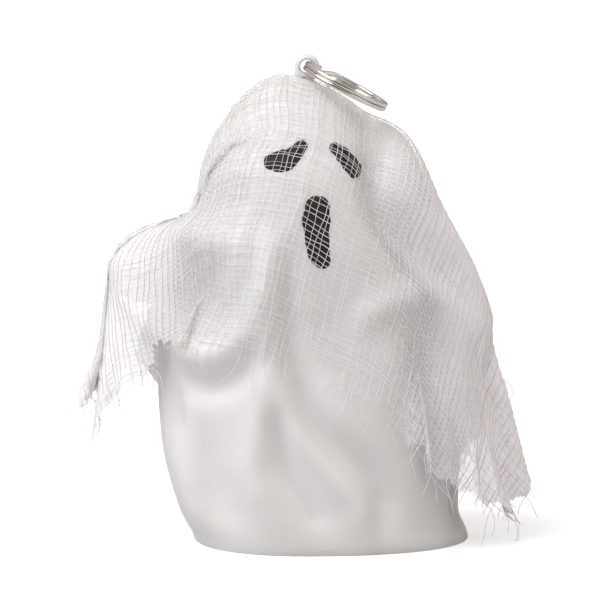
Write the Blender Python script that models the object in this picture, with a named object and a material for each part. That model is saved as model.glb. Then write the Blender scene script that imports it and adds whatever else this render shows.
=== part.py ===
"""A hanging ghost decoration: a moulded lamp body shaped like a sheet over raised arms, with a gauze drape.

Frame: metres, +Z up, the face looks along -Y. The origin is on the flat base, straight under the hanging lug.
Angles go round +Z from +X, so that the face is at -90 degrees, and heights are shares of the body's height.
"""

import math
from dataclasses import dataclass

import bmesh
import bpy
import numpy as np
from mathutils import Matrix, Vector

# Fits
GAP = 0.0003  # between pieces that touch
OVERRUN = 0.001  # how far a cutter passes the face that it cuts

# Body shell
BODY_HEIGHT = 0.1242
BODY_WALL = 0.0022
BODY_SQUARENESS = 2.25  # exponent of the plan's superellipse
CROWN_LEAN_SHARE = 0.26  # fall of the crown towards the right, for each unit of X
CROWN_LEAN_FADE_SHARE = 0.045  # depth over which that fall dies out
RIM_WALL = 0.0026
SEAT_DEPTH = 0.0033
SEAT_LEDGE = 0.0011
LINING_START = 0.011  # height where the inner wall runs parallel to the outer one
HEM_FADE = 0.009  # height over which the folds grow from the flat rim
HEM_FOLD_SHARE = 0.25
FOLD_END_SHARE = 0.35  # part of a fold's rise that is left where its path starts and ends
FOLD_SAMPLES = 8  # places tried along each stretch of a fold's path
SLOPE_STEP_SHARE = 0.002  # step down the body for its normals
SLOPE_STEP_DEG = 1.0  # and round it
CROWN_REGION_SHARE = 0.3  # depth within which a small radius is looked for
HALVINGS = 40
MERGE_DISTANCE = 0.0000004
SMOOTH_ANGLE_DEG = 40.0
FILLET_SEGMENTS = 3
ROW_CROWDING = 1.35  # power by which the rows crowd towards the crown
BODY_ROWS = 38
LINING_ROWS = 11
FRONT_COLUMNS = 42
BACK_COLUMNS = 20

# Depth below the crown, then the reach to the left, right, front and back, as shares of the body's height
PROFILE_SHARES = (
    (0.000, 0.000, 0.000, 0.000, 0.000),
    (0.010, 0.060, 0.038, 0.046, 0.046),
    (0.032, 0.105, 0.076, 0.080, 0.079),
    (0.060, 0.146, 0.097, 0.110, 0.108),
    (0.095, 0.178, 0.120, 0.138, 0.134),
    (0.135, 0.204, 0.157, 0.165, 0.159),
    (0.190, 0.225, 0.195, 0.199, 0.191),
    (0.250, 0.236, 0.220, 0.220, 0.210),
    (0.300, 0.248, 0.236, 0.234, 0.225),
    (0.350, 0.274, 0.254, 0.246, 0.238),
    (0.400, 0.303, 0.274, 0.254, 0.246),
    (0.490, 0.321, 0.306, 0.266, 0.258),
    (0.600, 0.325, 0.331, 0.277, 0.267),
    (0.720, 0.322, 0.341, 0.287, 0.272),
    (0.820, 0.311, 0.336, 0.293, 0.272),
    (0.900, 0.290, 0.330, 0.298, 0.267),
    (0.955, 0.269, 0.333, 0.300, 0.262),
    (0.985, 0.251, 0.347, 0.296, 0.256),
    (1.000, 0.246, 0.351, 0.291, 0.250),
)

# Face, printed as thin raised films
FILM_THICKNESS = 0.0004
FILM_ACROSS = 4
FILM_ALONG = 10
FILM_END_SHARES = ((0.92, 0.40), (0.62, 0.78))  # reach past the last station, and width, in its half widths
FRONT_STEPS = 12  # refinements of a point's place on the front

# Hanging lug
LUG_WIDTH = 0.0066
LUG_THICKNESS = 0.0038
LUG_ROUNDING = 0.0013
EYE_RADIUS = 0.0019
EYE_ABOVE_CROWN = 0.0034
STEM_RADIUS = 0.0017
BARB_RADIUS = 0.0029
BARB_SLOPE_SHARE = 1.35  # the crown's wall, measured upright beside the stem, for each unit of its thickness
BARB_HEIGHT = 0.0018
LUG_ARC_STEPS = 12

# Split ring, lying against the head
RING_RADIUS = 0.0125
RING_WIRE_WIDTH = 0.0016
RING_WIRE_HEIGHT = 0.00125
RING_WAIST = 0.00022  # depth of the groove between the two turns
RING_SIDE_SHARE = 0.8  # where the wire's rounded corners start, on its sides
RING_FACE_SHARE = 0.6  # and on its faces
RING_LEAN_DEG = 27.8
RING_SEGMENTS = 36

# Gauze drape
DRAPE_THICKNESS = 0.0005
DRAPE_LIFT = 0.0009
DRAPE_CROWN_SHARE = 0.48  # part of that lift left at the crown, under the ring
DRAPE_CROWN_DEPTH_SHARE = 0.18
DRAPE_HOLE_CLEARANCE = 0.0004
DRAPE_ROWS = 13
DRAPE_ROW_CROWDING = 1.45
DRAPE_COLUMN_DEG = 9.5  # a wider stretch of the hem gets one column more
DRAPE_REACH = 0.0034  # how far a fold of the body lifts the cloth around it
DRAPE_TRIES = (-1.0, -0.5, 0.0, 0.5, 1.0)  # places tried within the reach

# Depth of the hem at each angle, as a share of the body's height
HEM_SHARES = (
    (-180.0, 0.80),
    (-176.0, 0.77),
    (-169.0, 0.67),
    (-162.0, 0.65),
    (-154.0, 0.585),
    (-140.0, 0.575),
    (-117.0, 0.60),
    (-98.0, 0.60),
    (-84.0, 0.63),
    (-70.0, 0.69),
    (-56.0, 0.75),
    (-42.0, 0.83),
    (-27.0, 0.89),
    (-14.0, 0.945),
    (-6.0, 0.955),
    (3.0, 0.87),
    (12.0, 0.80),
    (24.0, 0.79),
    (34.0, 0.87),
    (42.0, 0.88),
    (54.0, 0.78),
    (72.0, 0.68),
    (92.0, 0.63),
    (114.0, 0.61),
    (134.0, 0.65),
    (148.0, 0.77),
    (156.0, 0.78),
    (164.0, 0.69),
    (172.0, 0.70),
)

# Where the cloth hangs clear of the body: angle, depth share, stand-off, spread along and down
CLEAR_SHARES = (
    (-180.0, 0.435, 0.112, 0.115, 0.070),
    (152.0, 0.74, 0.050, 0.16, 0.14),
    (-6.0, 0.45, 0.036, 0.26, 0.20),
    (0.0, 0.85, 0.062, 0.20, 0.14),
    (38.0, 0.84, 0.030, 0.16, 0.12),
)

# Base housing, with the battery bay, switch and screw bosses on its inner side
BAY_X = 0.0150
BAY_Y = 0.0020
BAY_SLACK = 0.0004
BAY_WALL = 0.0014
CELL_RADIUS = 0.0058
CELL_THICKNESS = 0.0054
CELL_RIM = 0.0004
CELL_COUNT = 3
CELL_SEGMENTS = 28
SPRING_ROOM = 0.0042
PLATE_ROOM = 0.0011
CONTACT_THICKNESS = 0.0005
CONTACT_WIDTH = 0.0080
CONTACT_RISE = 0.0076
SPRING_RADIUS = 0.0032
SPRING_TIP_RADIUS = 0.0019
SPRING_WIRE = 0.00028
SPRING_TURNS = 3
SPRING_STEPS = 10

DOOR_THICKNESS = 0.0018
DOOR_OVERLAP = 0.0016
DOOR_MARGIN = 0.0010
DOOR_CORNER = 0.0015
GRIP_WIDTH = 0.0009
GRIP_LENGTH = 0.0080
GRIP_DEPTH = 0.0004
GRIP_PITCH = 0.0021
GRIP_COUNT = 3

SCREW_HEAD_RADIUS = 0.0020
SCREW_HEAD_HEIGHT = 0.0008
SCREW_RADIUS = 0.0009
SCREW_LENGTH = 0.0052
SCREW_SLOT_WIDTH = 0.0005
SCREW_SLOT_DEPTH = 0.00045
SCREW_SEGMENTS = 20
SCREW_TOP_SHARE = 0.8  # width of the head's flat face
BOSS_RADIUS = 0.0027
BOSS_HEIGHT = 0.0060

SWITCH_X = -0.0130
SWITCH_Y = -0.0060
SWITCH_LENGTH = 0.0086
SWITCH_WIDTH = 0.0042
SWITCH_HEIGHT = 0.0036
SWITCH_PIN = 0.0006
SWITCH_PIN_LENGTH = 0.0030
SWITCH_PIN_PITCH = 0.0025
SWITCH_RIB = 0.0012
SWITCH_RIB_HEIGHT = 0.0022
SWITCH_TRAVEL = 0.0022
KNOB_LENGTH = 0.0024
KNOB_WIDTH = 0.0018
KNOB_FOOT = 0.0010
KNOB_FLANGE = 0.0007
POCKET_LENGTH = 0.0092
POCKET_WIDTH = 0.0052
POCKET_DEPTH = 0.0014

BOARD_LENGTH = 0.0200
BOARD_WIDTH = 0.0120
BOARD_THICKNESS = 0.0012
LED_RADIUS = 0.0025
LED_FLANGE = 0.0029
LED_FLANGE_HEIGHT = 0.0010
LED_HEIGHT = 0.0086
LED_OFFSET = 0.0030
LED_SEGMENTS = 24
LED_DOME_STEPS = 5
RESISTOR_RADIUS = 0.0010
RESISTOR_LENGTH = 0.0056
RESISTOR_WAIST = 0.0008
RESISTOR_OFFSET = -0.0055
LEAD_RADIUS = 0.0003
LEAD_REACH = 0.0016

COVER_WALL = 0.0013
COVER_SLACK = 0.0006
COVER_HEADROOM = 0.0032
COVER_EAR = 0.0062
COVER_EAR_THICKNESS = 0.0016
COVER_CORNER = 0.0012
WIRE_NOTCH_WIDTH = 0.0052
WIRE_NOTCH_HEIGHT = 0.0030
WIRE_RADIUS = 0.0005
WIRE_SPREAD = 0.0013
WIRE_RISE = 0.0060
WIRE_POINTS = 22
BORE_SEGMENTS = 24

# Places that follow from the sizes above
EYE_HEIGHT = BODY_HEIGHT + EYE_ABOVE_CROWN
PLATE_TOP = SEAT_DEPTH - GAP
DOOR_CEILING = DOOR_THICKNESS + GAP
BAY_LENGTH = CELL_COUNT * CELL_THICKNESS + (CELL_COUNT - 1) * GAP + SPRING_ROOM + PLATE_ROOM + 2.0 * GAP
BAY_WIDTH = 2.0 * (CELL_RADIUS + BAY_SLACK)
CELL_HEIGHT = DOOR_CEILING + CELL_RADIUS
BAY_CEILING = CELL_HEIGHT + CELL_RADIUS + BAY_SLACK
BAY_ROOF = BAY_CEILING + BAY_WALL
BOARD_BOTTOM = BAY_ROOF + GAP
BOARD_TOP = BOARD_BOTTOM + BOARD_THICKNESS
COVER_CEILING = BOARD_TOP + COVER_HEADROOM
COVER_TOP = COVER_CEILING + COVER_WALL
COVER_LENGTH = BAY_LENGTH + 2.0 * (BAY_WALL + COVER_SLACK + COVER_WALL)
COVER_WIDTH = BAY_WIDTH + 2.0 * (BAY_WALL + COVER_SLACK + COVER_WALL)
EAR_PLACE = COVER_WIDTH / 2 + COVER_EAR / 2
EAR_BOTTOM = PLATE_TOP + BOSS_HEIGHT + GAP
DOOR_START = BAY_X - BAY_LENGTH / 2 - DOOR_OVERLAP
DOOR_SCREW_X = BAY_X + COVER_LENGTH / 2 + BOSS_RADIUS + GAP
DOOR_END = DOOR_SCREW_X + SCREW_HEAD_RADIUS + DOOR_MARGIN
DOOR_WIDTH = BAY_WIDTH + 2.0 * DOOR_OVERLAP
CELL_START = BAY_X + BAY_LENGTH / 2 - PLATE_ROOM - GAP
SWITCH_BOTTOM = PLATE_TOP + GAP
SWITCH_TOP = SWITCH_BOTTOM + SWITCH_HEIGHT
KNOB_X = SWITCH_X - SWITCH_TRAVEL / 2


@dataclass(frozen=True)
class Fold:
    """A ridge, or with a negative rise a valley, along a path of (angle in degrees, height share)."""

    rise_share: float
    width_share: float
    path_shares: tuple[tuple[float, float], ...]


FOLDS = (
    # right arm, from the shoulder down to the hidden hand, and the groove beside the face
    Fold(
        0.0483,
        0.0692,
        ((3, 0.862), (-3, 0.830), (-12, 0.80), (-17, 0.75), (-17, 0.67), (-13, 0.58), (-8, 0.50), (-4, 0.42)),
    ),
    Fold(-0.0338, 0.0370, ((-26, 0.88), (-46, 0.80), (-48, 0.73), (-38, 0.66), (-29, 0.60), (-20, 0.52))),
    # left arm, held out sideways, with the sheet falling from it
    Fold(0.0370, 0.0467, ((-130, 0.655), (-146, 0.665), (-163, 0.655), (180, 0.648), (164, 0.640))),
    Fold(
        0.0209, 0.0338, ((-174, 0.60), (-160, 0.50), (-143, 0.43), (-126, 0.44), (-115, 0.51), (-109, 0.64))
    ),
    Fold(-0.0242, 0.0628, ((-138, 0.58), (-136, 0.51))),
    Fold(0.0129, 0.0258, ((-125, 0.70), (-122, 0.62), (-127, 0.56))),
    Fold(-0.0193, 0.0370, ((-155, 0.37), (-153, 0.30), (-150, 0.24))),
    Fold(-0.0177, 0.0322, ((-150, 0.375), (-136, 0.352), (-122, 0.375), (-112, 0.43))),
    # front of the skirt
    Fold(0.0225, 0.0419, ((-107, 0.66), (-108, 0.38), (-111, 0.25), (-112, 0.17), (-103, 0.07))),
    Fold(-0.0145, 0.0274, ((-99, 0.66), (-99, 0.52), (-98, 0.42))),
    Fold(-0.0225, 0.0322, ((-97, 0.41), (-91, 0.335), (-82, 0.265), (-68, 0.195), (-60, 0.14), (-56, 0.07))),
    Fold(0.0161, 0.0290, ((-101, 0.37), (-98, 0.32), (-92, 0.255), (-80, 0.175), (-70, 0.115), (-66, 0.05))),
    Fold(-0.0161, 0.0274, ((-104, 0.32), (-102, 0.255), (-97, 0.175), (-89, 0.11), (-82, 0.05))),
    Fold(0.0129, 0.0483, ((-78, 0.36), (-66, 0.29), (-52, 0.22), (-44, 0.13))),
    Fold(-0.0145, 0.0564, ((-83, 0.53), (-78, 0.47))),
    # chest on the right, under the gauze
    Fold(0.0177, 0.0338, ((-66, 0.50), (-56, 0.53), (-44, 0.545), (-32, 0.54))),
    Fold(-0.0193, 0.0354, ((-37, 0.48), (-39, 0.41), (-40, 0.34))),
    Fold(0.0145, 0.0531, ((-52, 0.46), (-54, 0.38), (-52, 0.30))),
    Fold(0.0193, 0.0483, ((-27, 0.42), (-28, 0.30), (-26, 0.18))),
    Fold(-0.0209, 0.0354, ((-14, 0.22), (-13, 0.12), (-16, 0.06))),
    # left side of the skirt
    Fold(-0.0161, 0.0483, ((-135, 0.27), (-133, 0.17), (-126, 0.08))),
    Fold(0.0145, 0.0467, ((-146, 0.20), (-144, 0.12), (-140, 0.05))),
    # back, which falls from the shoulders in long folds
    Fold(0.0209, 0.0564, ((150, 0.58), (152, 0.36), (150, 0.14))),
    Fold(-0.0193, 0.0515, ((132, 0.60), (130, 0.36), (134, 0.12))),
    Fold(0.0209, 0.0580, ((108, 0.62), (112, 0.36), (108, 0.12))),
    Fold(-0.0209, 0.0515, ((88, 0.60), (90, 0.34), (84, 0.12))),
    Fold(0.0209, 0.0564, ((66, 0.60), (66, 0.36), (64, 0.14))),
    Fold(-0.0193, 0.0499, ((42, 0.62), (42, 0.38), (46, 0.14))),
    Fold(0.0193, 0.0515, ((22, 0.50), (24, 0.32), (26, 0.14))),
)

# Folds in which the gauze hangs, over and between those of the body, each down past its hem
HANGING_FOLDS = (
    # the right flank, gathered towards its corner
    Fold(0.0560, 0.0403, ((-10, 0.38), (-10, 0.30), (-9, 0.22), (-9, 0.12), (-9, 0.00))),
    Fold(0.0580, 0.0360, ((19, 0.37), (20, 0.30), (20, 0.22), (21, 0.14))),
    Fold(0.0800, 0.0360, ((39, 0.32), (40, 0.26), (41, 0.18), (41, 0.04))),
    Fold(0.0330, 0.0330, ((58, 0.35), (58, 0.28), (58, 0.20), (58, 0.10))),
    # the back, the tail on the left and the front
    Fold(0.0240, 0.0380, ((80, 0.42), (80, 0.32), (80, 0.22))),
    Fold(0.0200, 0.0380, ((140, 0.46), (141, 0.36), (142, 0.26))),
    Fold(0.0300, 0.0480, ((-178, 0.42), (-179, 0.30), (180, 0.18), (180, 0.06))),
    Fold(0.0220, 0.0400, ((-55, 0.38), (-54, 0.28), (-52, 0.18))),
)


@dataclass(frozen=True)
class Film:
    """A printed feature of the face: X, height and half width from end to end, as shares of the body's height."""

    name: str
    station_shares: tuple[tuple[float, float, float], ...]


FILMS = (
    Film(
        "left_eye",
        (
            (-0.0765, 0.8374, 0.0153),
            (-0.0548, 0.8406, 0.0209),
            (-0.0322, 0.8502, 0.0169),
            (-0.0113, 0.8704, 0.0137),
        ),
    ),
    Film(
        "right_eye",
        (
            (0.0596, 0.8696, 0.0113),
            (0.0765, 0.8559, 0.0161),
            (0.0942, 0.8374, 0.0169),
            (0.1071, 0.8213, 0.0145),
        ),
    ),
    Film(
        "mouth",
        (
            (0.0201, 0.7568, 0.0282),
            (0.0193, 0.7166, 0.0306),
            (0.0209, 0.6763, 0.0274),
            (0.0306, 0.6264, 0.0193),
        ),
    ),
)


# Numbers


def smooth_between(knots, values, places):
    """A smooth curve through the values at the knots, read at the places."""
    knots = np.asarray(knots, float)
    values = np.asarray(values, float)
    if values.ndim == 1:
        values = values[:, None]
    slopes = np.gradient(values, knots, axis=0)
    places = np.clip(np.asarray(places, float), knots[0], knots[-1])
    span = np.clip(np.searchsorted(knots, places, side="right") - 1, 0, len(knots) - 2)
    length = (knots[span + 1] - knots[span])[..., None]
    t = (places - knots[span])[..., None] / length
    rest = 1.0 - t
    curve = values[span] * (1.0 + 2.0 * t) * rest**2 + slopes[span] * length * t * rest**2
    curve += values[span + 1] * t**2 * (3.0 - 2.0 * t) - slopes[span + 1] * length * t**2 * rest
    return curve


def unit(vectors):
    return vectors / np.linalg.norm(vectors, axis=-1, keepdims=True)


# The body's surface


def plain_body(angles, depths):
    """Points of the body without its folds, at angles in degrees and depth shares."""
    knots = [math.sqrt(row[0]) for row in PROFILE_SHARES]
    reaches = smooth_between(knots, [row[1:] for row in PROFILE_SHARES], np.sqrt(depths)) * BODY_HEIGHT
    turn = np.radians(angles)
    across = np.where(np.cos(turn) > 0.0, reaches[..., 1], reaches[..., 0])
    along = np.where(np.sin(turn) < 0.0, reaches[..., 2], reaches[..., 3])
    across, along = np.maximum(across, MERGE_DISTANCE), np.maximum(along, MERGE_DISTANCE)
    power = BODY_SQUARENESS
    inverse = np.abs(np.cos(turn) / across) ** power + np.abs(np.sin(turn) / along) ** power
    radius = inverse ** (-1.0 / power)
    x, y = radius * np.cos(turn), radius * np.sin(turn)
    lean = CROWN_LEAN_SHARE * x * np.exp(-((depths / CROWN_LEAN_FADE_SHARE) ** 2))
    return np.stack([x, y, BODY_HEIGHT * (1.0 - depths) - lean], axis=-1)


def plain_normals(angles, depths):
    high, low = np.maximum(depths - SLOPE_STEP_SHARE, 0.0), np.minimum(depths + SLOPE_STEP_SHARE, 1.0)
    down = plain_body(angles, low) - plain_body(angles, high)
    round_it = plain_body(angles + SLOPE_STEP_DEG, depths) - plain_body(angles - SLOPE_STEP_DEG, depths)
    return unit(np.cross(down, round_it))


def fold_rise(angles, depths, folds=FOLDS):
    """How far the folds stand out of the plain body."""
    heights = 1.0 - depths
    plain = plain_body(angles, depths)
    radius = np.hypot(plain[..., 0], plain[..., 1])
    rise = np.zeros_like(radius)
    for fold in folds:
        path = np.array(fold.path_shares, float)
        path[:, 0] = np.degrees(np.unwrap(np.radians(path[:, 0])))
        steps = np.linspace(0.0, len(path) - 1.0, FOLD_SAMPLES * len(path))
        route = smooth_between(range(len(path)), path, steps)
        ends = np.minimum(1.0, FOLD_END_SHARE + np.minimum(steps, len(path) - 1.0 - steps))
        turned = np.radians((angles[..., None] - route[:, 0] + 180.0) % 360.0 - 180.0)
        width = fold.width_share * BODY_HEIGHT
        aside = turned * radius[..., None] / width
        above = (heights[..., None] - route[:, 1]) * BODY_HEIGHT / width
        reach = ends * np.exp(-(aside**2 + above**2))
        rise += fold.rise_share * BODY_HEIGHT * reach.max(axis=-1)
    fade = np.clip(heights * BODY_HEIGHT / HEM_FADE, 0.0, 1.0)
    return rise * (HEM_FOLD_SHARE + (1.0 - HEM_FOLD_SHARE) * fade)


def body_surface(angles, depths, lift=0.0):
    rise = fold_rise(angles, depths) + lift
    return plain_body(angles, depths) + plain_normals(angles, depths) * rise[..., None]


def depth_at_radius(angles, radius):
    """The depth share at which the crown is as wide as the radius."""
    high, low = np.zeros_like(angles), np.full_like(angles, CROWN_REGION_SHARE)
    for _ in range(HALVINGS):
        middle = (high + low) / 2
        plain = plain_body(angles, middle)
        inside = np.hypot(plain[:, 0], plain[:, 1]) < radius
        high, low = np.where(inside, middle, high), np.where(inside, low, middle)
    return (high + low) / 2


def front_points(xs, heights, lift):
    """The points of the body's front at these X and heights, lifted off along their normals."""
    angles = np.full_like(xs, -90.0)
    depths = 1.0 - heights / BODY_HEIGHT
    for _ in range(FRONT_STEPS):
        points = body_surface(angles, depths, lift)
        angles = angles + np.degrees((xs - points[:, 0]) / np.hypot(points[:, 0], points[:, 1]))
        depths = depths + (points[:, 2] - heights) / BODY_HEIGHT
    return body_surface(angles, depths, lift)


def column_angles():
    """Angles round the body, closer together on the front."""
    front = np.linspace(-180.0, 0.0, FRONT_COLUMNS, endpoint=False)
    back = np.linspace(0.0, 180.0, BACK_COLUMNS, endpoint=False)
    return np.concatenate([front, back])


# Meshes and objects


def material_of(name, colour, roughness, metallic=0.0, transmission=0.0):
    material = bpy.data.materials.new(name)
    material.use_nodes = True
    shader = material.node_tree.nodes["Principled BSDF"]
    shader.inputs["Base Color"].default_value = (*colour, 1.0)
    shader.inputs["Roughness"].default_value = roughness
    shader.inputs["Metallic"].default_value = metallic
    shader.inputs["Transmission Weight"].default_value = transmission
    material.diffuse_color = (*colour, 1.0)
    return material


def object_from(bm, name, material=None, origin=(0.0, 0.0, 0.0), smooth=False):
    """Makes the mesh an object whose origin is the given point."""
    bmesh.ops.translate(bm, verts=bm.verts, vec=-Vector(origin))
    bmesh.ops.recalc_face_normals(bm, faces=bm.faces)
    mesh = bpy.data.meshes.new(name)
    bm.to_mesh(mesh)
    bm.free()
    if smooth:
        mesh.shade_smooth()
        mesh.set_sharp_from_angle(angle=math.radians(SMOOTH_ANGLE_DEG))
    if material:
        mesh.materials.append(material)
    obj = bpy.data.objects.new(name, mesh)
    obj.location = origin
    bpy.context.scene.collection.objects.link(obj)
    return obj


def add_box(bm, low, high):
    made = bmesh.ops.create_cube(bm, size=1.0)["verts"]
    low, high = Vector(low), Vector(high)
    bmesh.ops.scale(bm, vec=high - low, verts=made)
    bmesh.ops.translate(bm, vec=(high + low) / 2, verts=made)
    return made


def add_upright_box(bm, low, high, corner):
    """A box whose four upright edges are rounded."""
    made = add_box(bm, low, high)
    edges = {edge for vert in made for edge in vert.link_edges}
    upright = [edge for edge in edges if abs(edge.verts[0].co.z - edge.verts[1].co.z) > GAP]
    bmesh.ops.bevel(bm, geom=upright, offset=corner, segments=FILLET_SEGMENTS, profile=0.5, affect="EDGES")


def add_turned(bm, profile, centre, segments):
    """A solid turned about the upright axis through the centre, from (radius, height) pairs."""
    verts = [bm.verts.new(Vector(centre) + Vector((radius, 0.0, height))) for radius, height in profile]
    edges = [bm.edges.new(pair) for pair in zip(verts, verts[1:])]
    bmesh.ops.spin(
        bm,
        geom=verts + edges,
        cent=centre,
        axis=(0.0, 0.0, 1.0),
        angle=math.tau,
        steps=segments,
        use_merge=True,
    )
    bmesh.ops.remove_doubles(bm, verts=bm.verts, dist=MERGE_DISTANCE)


def add_rings(bm, rings, closed):
    """A skin through rings of points. Closed joins the last ring to the first; otherwise both ends are capped."""
    loops = [[bm.verts.new(point) for point in ring] for ring in rings]
    pairs = list(zip(loops, loops[1:] + (loops[:1] if closed else [])))
    for one, two in pairs:
        for k in range(len(one)):
            after = (k + 1) % len(one)
            bm.faces.new((one[k], one[after], two[after], two[k]))
    if not closed:
        bm.faces.new(loops[0])
        bm.faces.new(loops[-1])


def helper(bm, name):
    """A guide or cutter, left out of the finished part."""
    obj = object_from(bm, name)
    obj.hide_render = True
    obj.display_type = "WIRE"
    return obj


def combine(obj, other, operation):
    modifier = obj.modifiers.new(other.name, "BOOLEAN")
    modifier.object = other
    modifier.operation = operation


def cut_box(obj, name, low, high):
    bm = bmesh.new()
    add_box(bm, low, high)
    combine(obj, helper(bm, name), "DIFFERENCE")


def cut_bore(obj, name, centre, radius, low, high):
    bm = bmesh.new()
    add_turned(bm, ((0.0, high), (radius, high), (radius, low), (0.0, low)), (*centre, 0.0), BORE_SEGMENTS)
    combine(obj, helper(bm, name), "DIFFERENCE")


# The body, its face and what hangs it


def make_shell(material):
    """The moulded body: outer skin, flat rim, seat for the base, and lining, round the crown's hole."""
    angles = column_angles()
    start = depth_at_radius(angles, STEM_RADIUS + GAP)
    rings = []
    for t in np.linspace(0.0, 1.0, BODY_ROWS) ** ROW_CROWDING:
        rings.append(body_surface(angles, start + (1.0 - start) * t))
    rings += seat_rings(angles)
    last = 1.0 - LINING_START / BODY_HEIGHT
    inner = depth_at_radius(angles, STEM_RADIUS + BODY_WALL)
    for t in np.linspace(1.0, 0.0, LINING_ROWS) ** ROW_CROWDING:
        rings.append(body_surface(angles, inner + (last - inner) * t, -BODY_WALL))
    rings.append(rings[0] - np.array([0.0, 0.0, BARB_SLOPE_SHARE * BODY_WALL]))
    bm = bmesh.new()
    add_rings(bm, rings, closed=True)
    return object_from(bm, "ghost_shell", material, smooth=True)


def seat_rings(angles):
    """The shell's recess for the base housing: down the inside of the rim, and in along the ledge."""
    foot = plain_body(angles, np.ones_like(angles))
    radius = np.hypot(foot[:, 0], foot[:, 1])
    rings = []
    for inset, height in ((RIM_WALL, 0.0), (RIM_WALL, SEAT_DEPTH), (RIM_WALL + SEAT_LEDGE, SEAT_DEPTH)):
        ring = foot * ((radius - inset) / radius)[:, None]
        ring[:, 2] = height
        rings.append(ring)
    return rings


def make_film(film, material):
    """One printed feature: a thin bean-shaped skin that follows the body."""
    stations = np.array(film.station_shares) * BODY_HEIGHT
    steps = np.linspace(0.0, len(stations) - 1.0, FILM_ALONG)
    spine = smooth_between(range(len(stations)), stations, steps)
    heading = unit(np.gradient(spine[:, :2], axis=0))
    aside = np.stack([-heading[:, 1], heading[:, 0]], axis=1)
    rows = [(spine[k, :2], aside[k], spine[k, 2]) for k in range(len(spine))]
    for reach, width in reversed(FILM_END_SHARES):
        rows.insert(0, (spine[0, :2] - heading[0] * spine[0, 2] * reach, aside[0], width * spine[0, 2]))
        rows.append((spine[-1, :2] + heading[-1] * spine[-1, 2] * reach, aside[-1], width * spine[-1, 2]))
    shares = np.linspace(-1.0, 1.0, FILM_ACROSS + 1)
    places = np.array([centre + side * half * share for centre, side, half in rows for share in shares])
    over = front_points(places[:, 0], places[:, 1], GAP + FILM_THICKNESS).reshape(len(rows), -1, 3)
    under = front_points(places[:, 0], places[:, 1], GAP).reshape(len(rows), -1, 3)
    bm = bmesh.new()
    add_rings(bm, [list(top) + list(bottom)[::-1] for top, bottom in zip(over, under)], closed=False)
    return object_from(bm, film.name, material, smooth=True)


def make_lug(material):
    """The hanging lug: an eye on a barbed stem that passes through the crown."""
    crown = plain_body(np.array([180.0]), depth_at_radius(np.array([180.0]), LUG_WIDTH / 2))[0][2]
    foot = crown + GAP
    half = LUG_WIDTH / 2
    bm = bmesh.new()
    outline = [(-half, foot), (-half, EYE_HEIGHT)]
    for turn in np.linspace(0.0, math.pi, LUG_ARC_STEPS + 1)[1:-1]:
        outline.append((-half * math.cos(turn), EYE_HEIGHT + half * math.sin(turn)))
    outline += [(half, EYE_HEIGHT), (half, foot)]
    face = bm.faces.new([bm.verts.new((x, -LUG_THICKNESS / 2, z)) for x, z in outline])
    swept = bmesh.ops.extrude_face_region(bm, geom=[face])["geom"]
    moved = [item for item in swept if isinstance(item, bmesh.types.BMVert)]
    bmesh.ops.translate(bm, verts=moved, vec=(0.0, LUG_THICKNESS, 0.0))
    bmesh.ops.recalc_face_normals(bm, faces=bm.faces)
    across = [edge for edge in bm.edges if abs(edge.verts[0].co.y - edge.verts[1].co.y) < GAP]
    bmesh.ops.bevel(
        bm, geom=across, offset=LUG_ROUNDING, segments=FILLET_SEGMENTS, profile=0.5, affect="EDGES"
    )
    lug = object_from(bm, "hanging_lug", material, smooth=True)
    bm = bmesh.new()
    right = plain_body(np.array([0.0]), depth_at_radius(np.array([0.0]), BARB_RADIUS))[0][2]
    barb = right - BARB_SLOPE_SHARE * BODY_WALL - GAP
    profile = ((0.0, foot + GAP), (STEM_RADIUS, foot + GAP), (STEM_RADIUS, barb), (BARB_RADIUS, barb))
    profile += ((STEM_RADIUS, barb - BARB_HEIGHT), (0.0, barb - BARB_HEIGHT))
    add_turned(bm, profile, (0.0, 0.0, 0.0), BORE_SEGMENTS)
    combine(lug, helper(bm, "lug_stem"), "UNION")
    bm = bmesh.new()
    reach = LUG_THICKNESS / 2 + OVERRUN
    profile = ((0.0, reach), (EYE_RADIUS, reach), (EYE_RADIUS, -reach), (0.0, -reach))
    add_turned(bm, profile, (0.0, 0.0, 0.0), BORE_SEGMENTS)
    bmesh.ops.rotate(bm, verts=bm.verts, cent=(0.0, 0.0, 0.0), matrix=rotation("X", 90.0))
    bmesh.ops.translate(bm, verts=bm.verts, vec=(0.0, 0.0, EYE_HEIGHT))
    combine(lug, helper(bm, "lug_eye"), "DIFFERENCE")
    return lug


def rotation(axis, degrees):
    return Matrix.Rotation(math.radians(degrees), 3, axis)


def make_ring(material):
    """The split ring: two turns of flat wire, as one section with a groove, resting on the head's side."""
    half, height = RING_WIRE_WIDTH / 2, RING_WIRE_HEIGHT
    face, side = half * RING_FACE_SHARE, height * RING_SIDE_SHARE
    section = [(-half, -side), (-face, -height), (face, -height), (half, -side)]
    section += [(half, -RING_WAIST), (half - RING_WAIST, 0.0), (half, RING_WAIST)]
    section += [(half, side), (face, height), (-face, height), (-half, side)]
    section += [(-half, RING_WAIST), (-half + RING_WAIST, 0.0), (-half, -RING_WAIST)]
    middle = RING_RADIUS - half
    rings = []
    for turn in np.arange(RING_SEGMENTS) * math.tau / RING_SEGMENTS:
        reach = [(middle + out, up) for out, up in section]
        rings.append([(middle - far * math.cos(turn), far * math.sin(turn), up) for far, up in reach])
    bm = bmesh.new()
    add_rings(bm, rings, closed=True)
    bmesh.ops.rotate(bm, verts=bm.verts, cent=(0.0, 0.0, 0.0), matrix=rotation("Y", RING_LEAN_DEG))
    bmesh.ops.translate(bm, verts=bm.verts, vec=(0.0, 0.0, EYE_HEIGHT))
    return object_from(bm, "split_ring", material, origin=(0.0, 0.0, EYE_HEIGHT), smooth=True)


# The gauze


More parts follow.
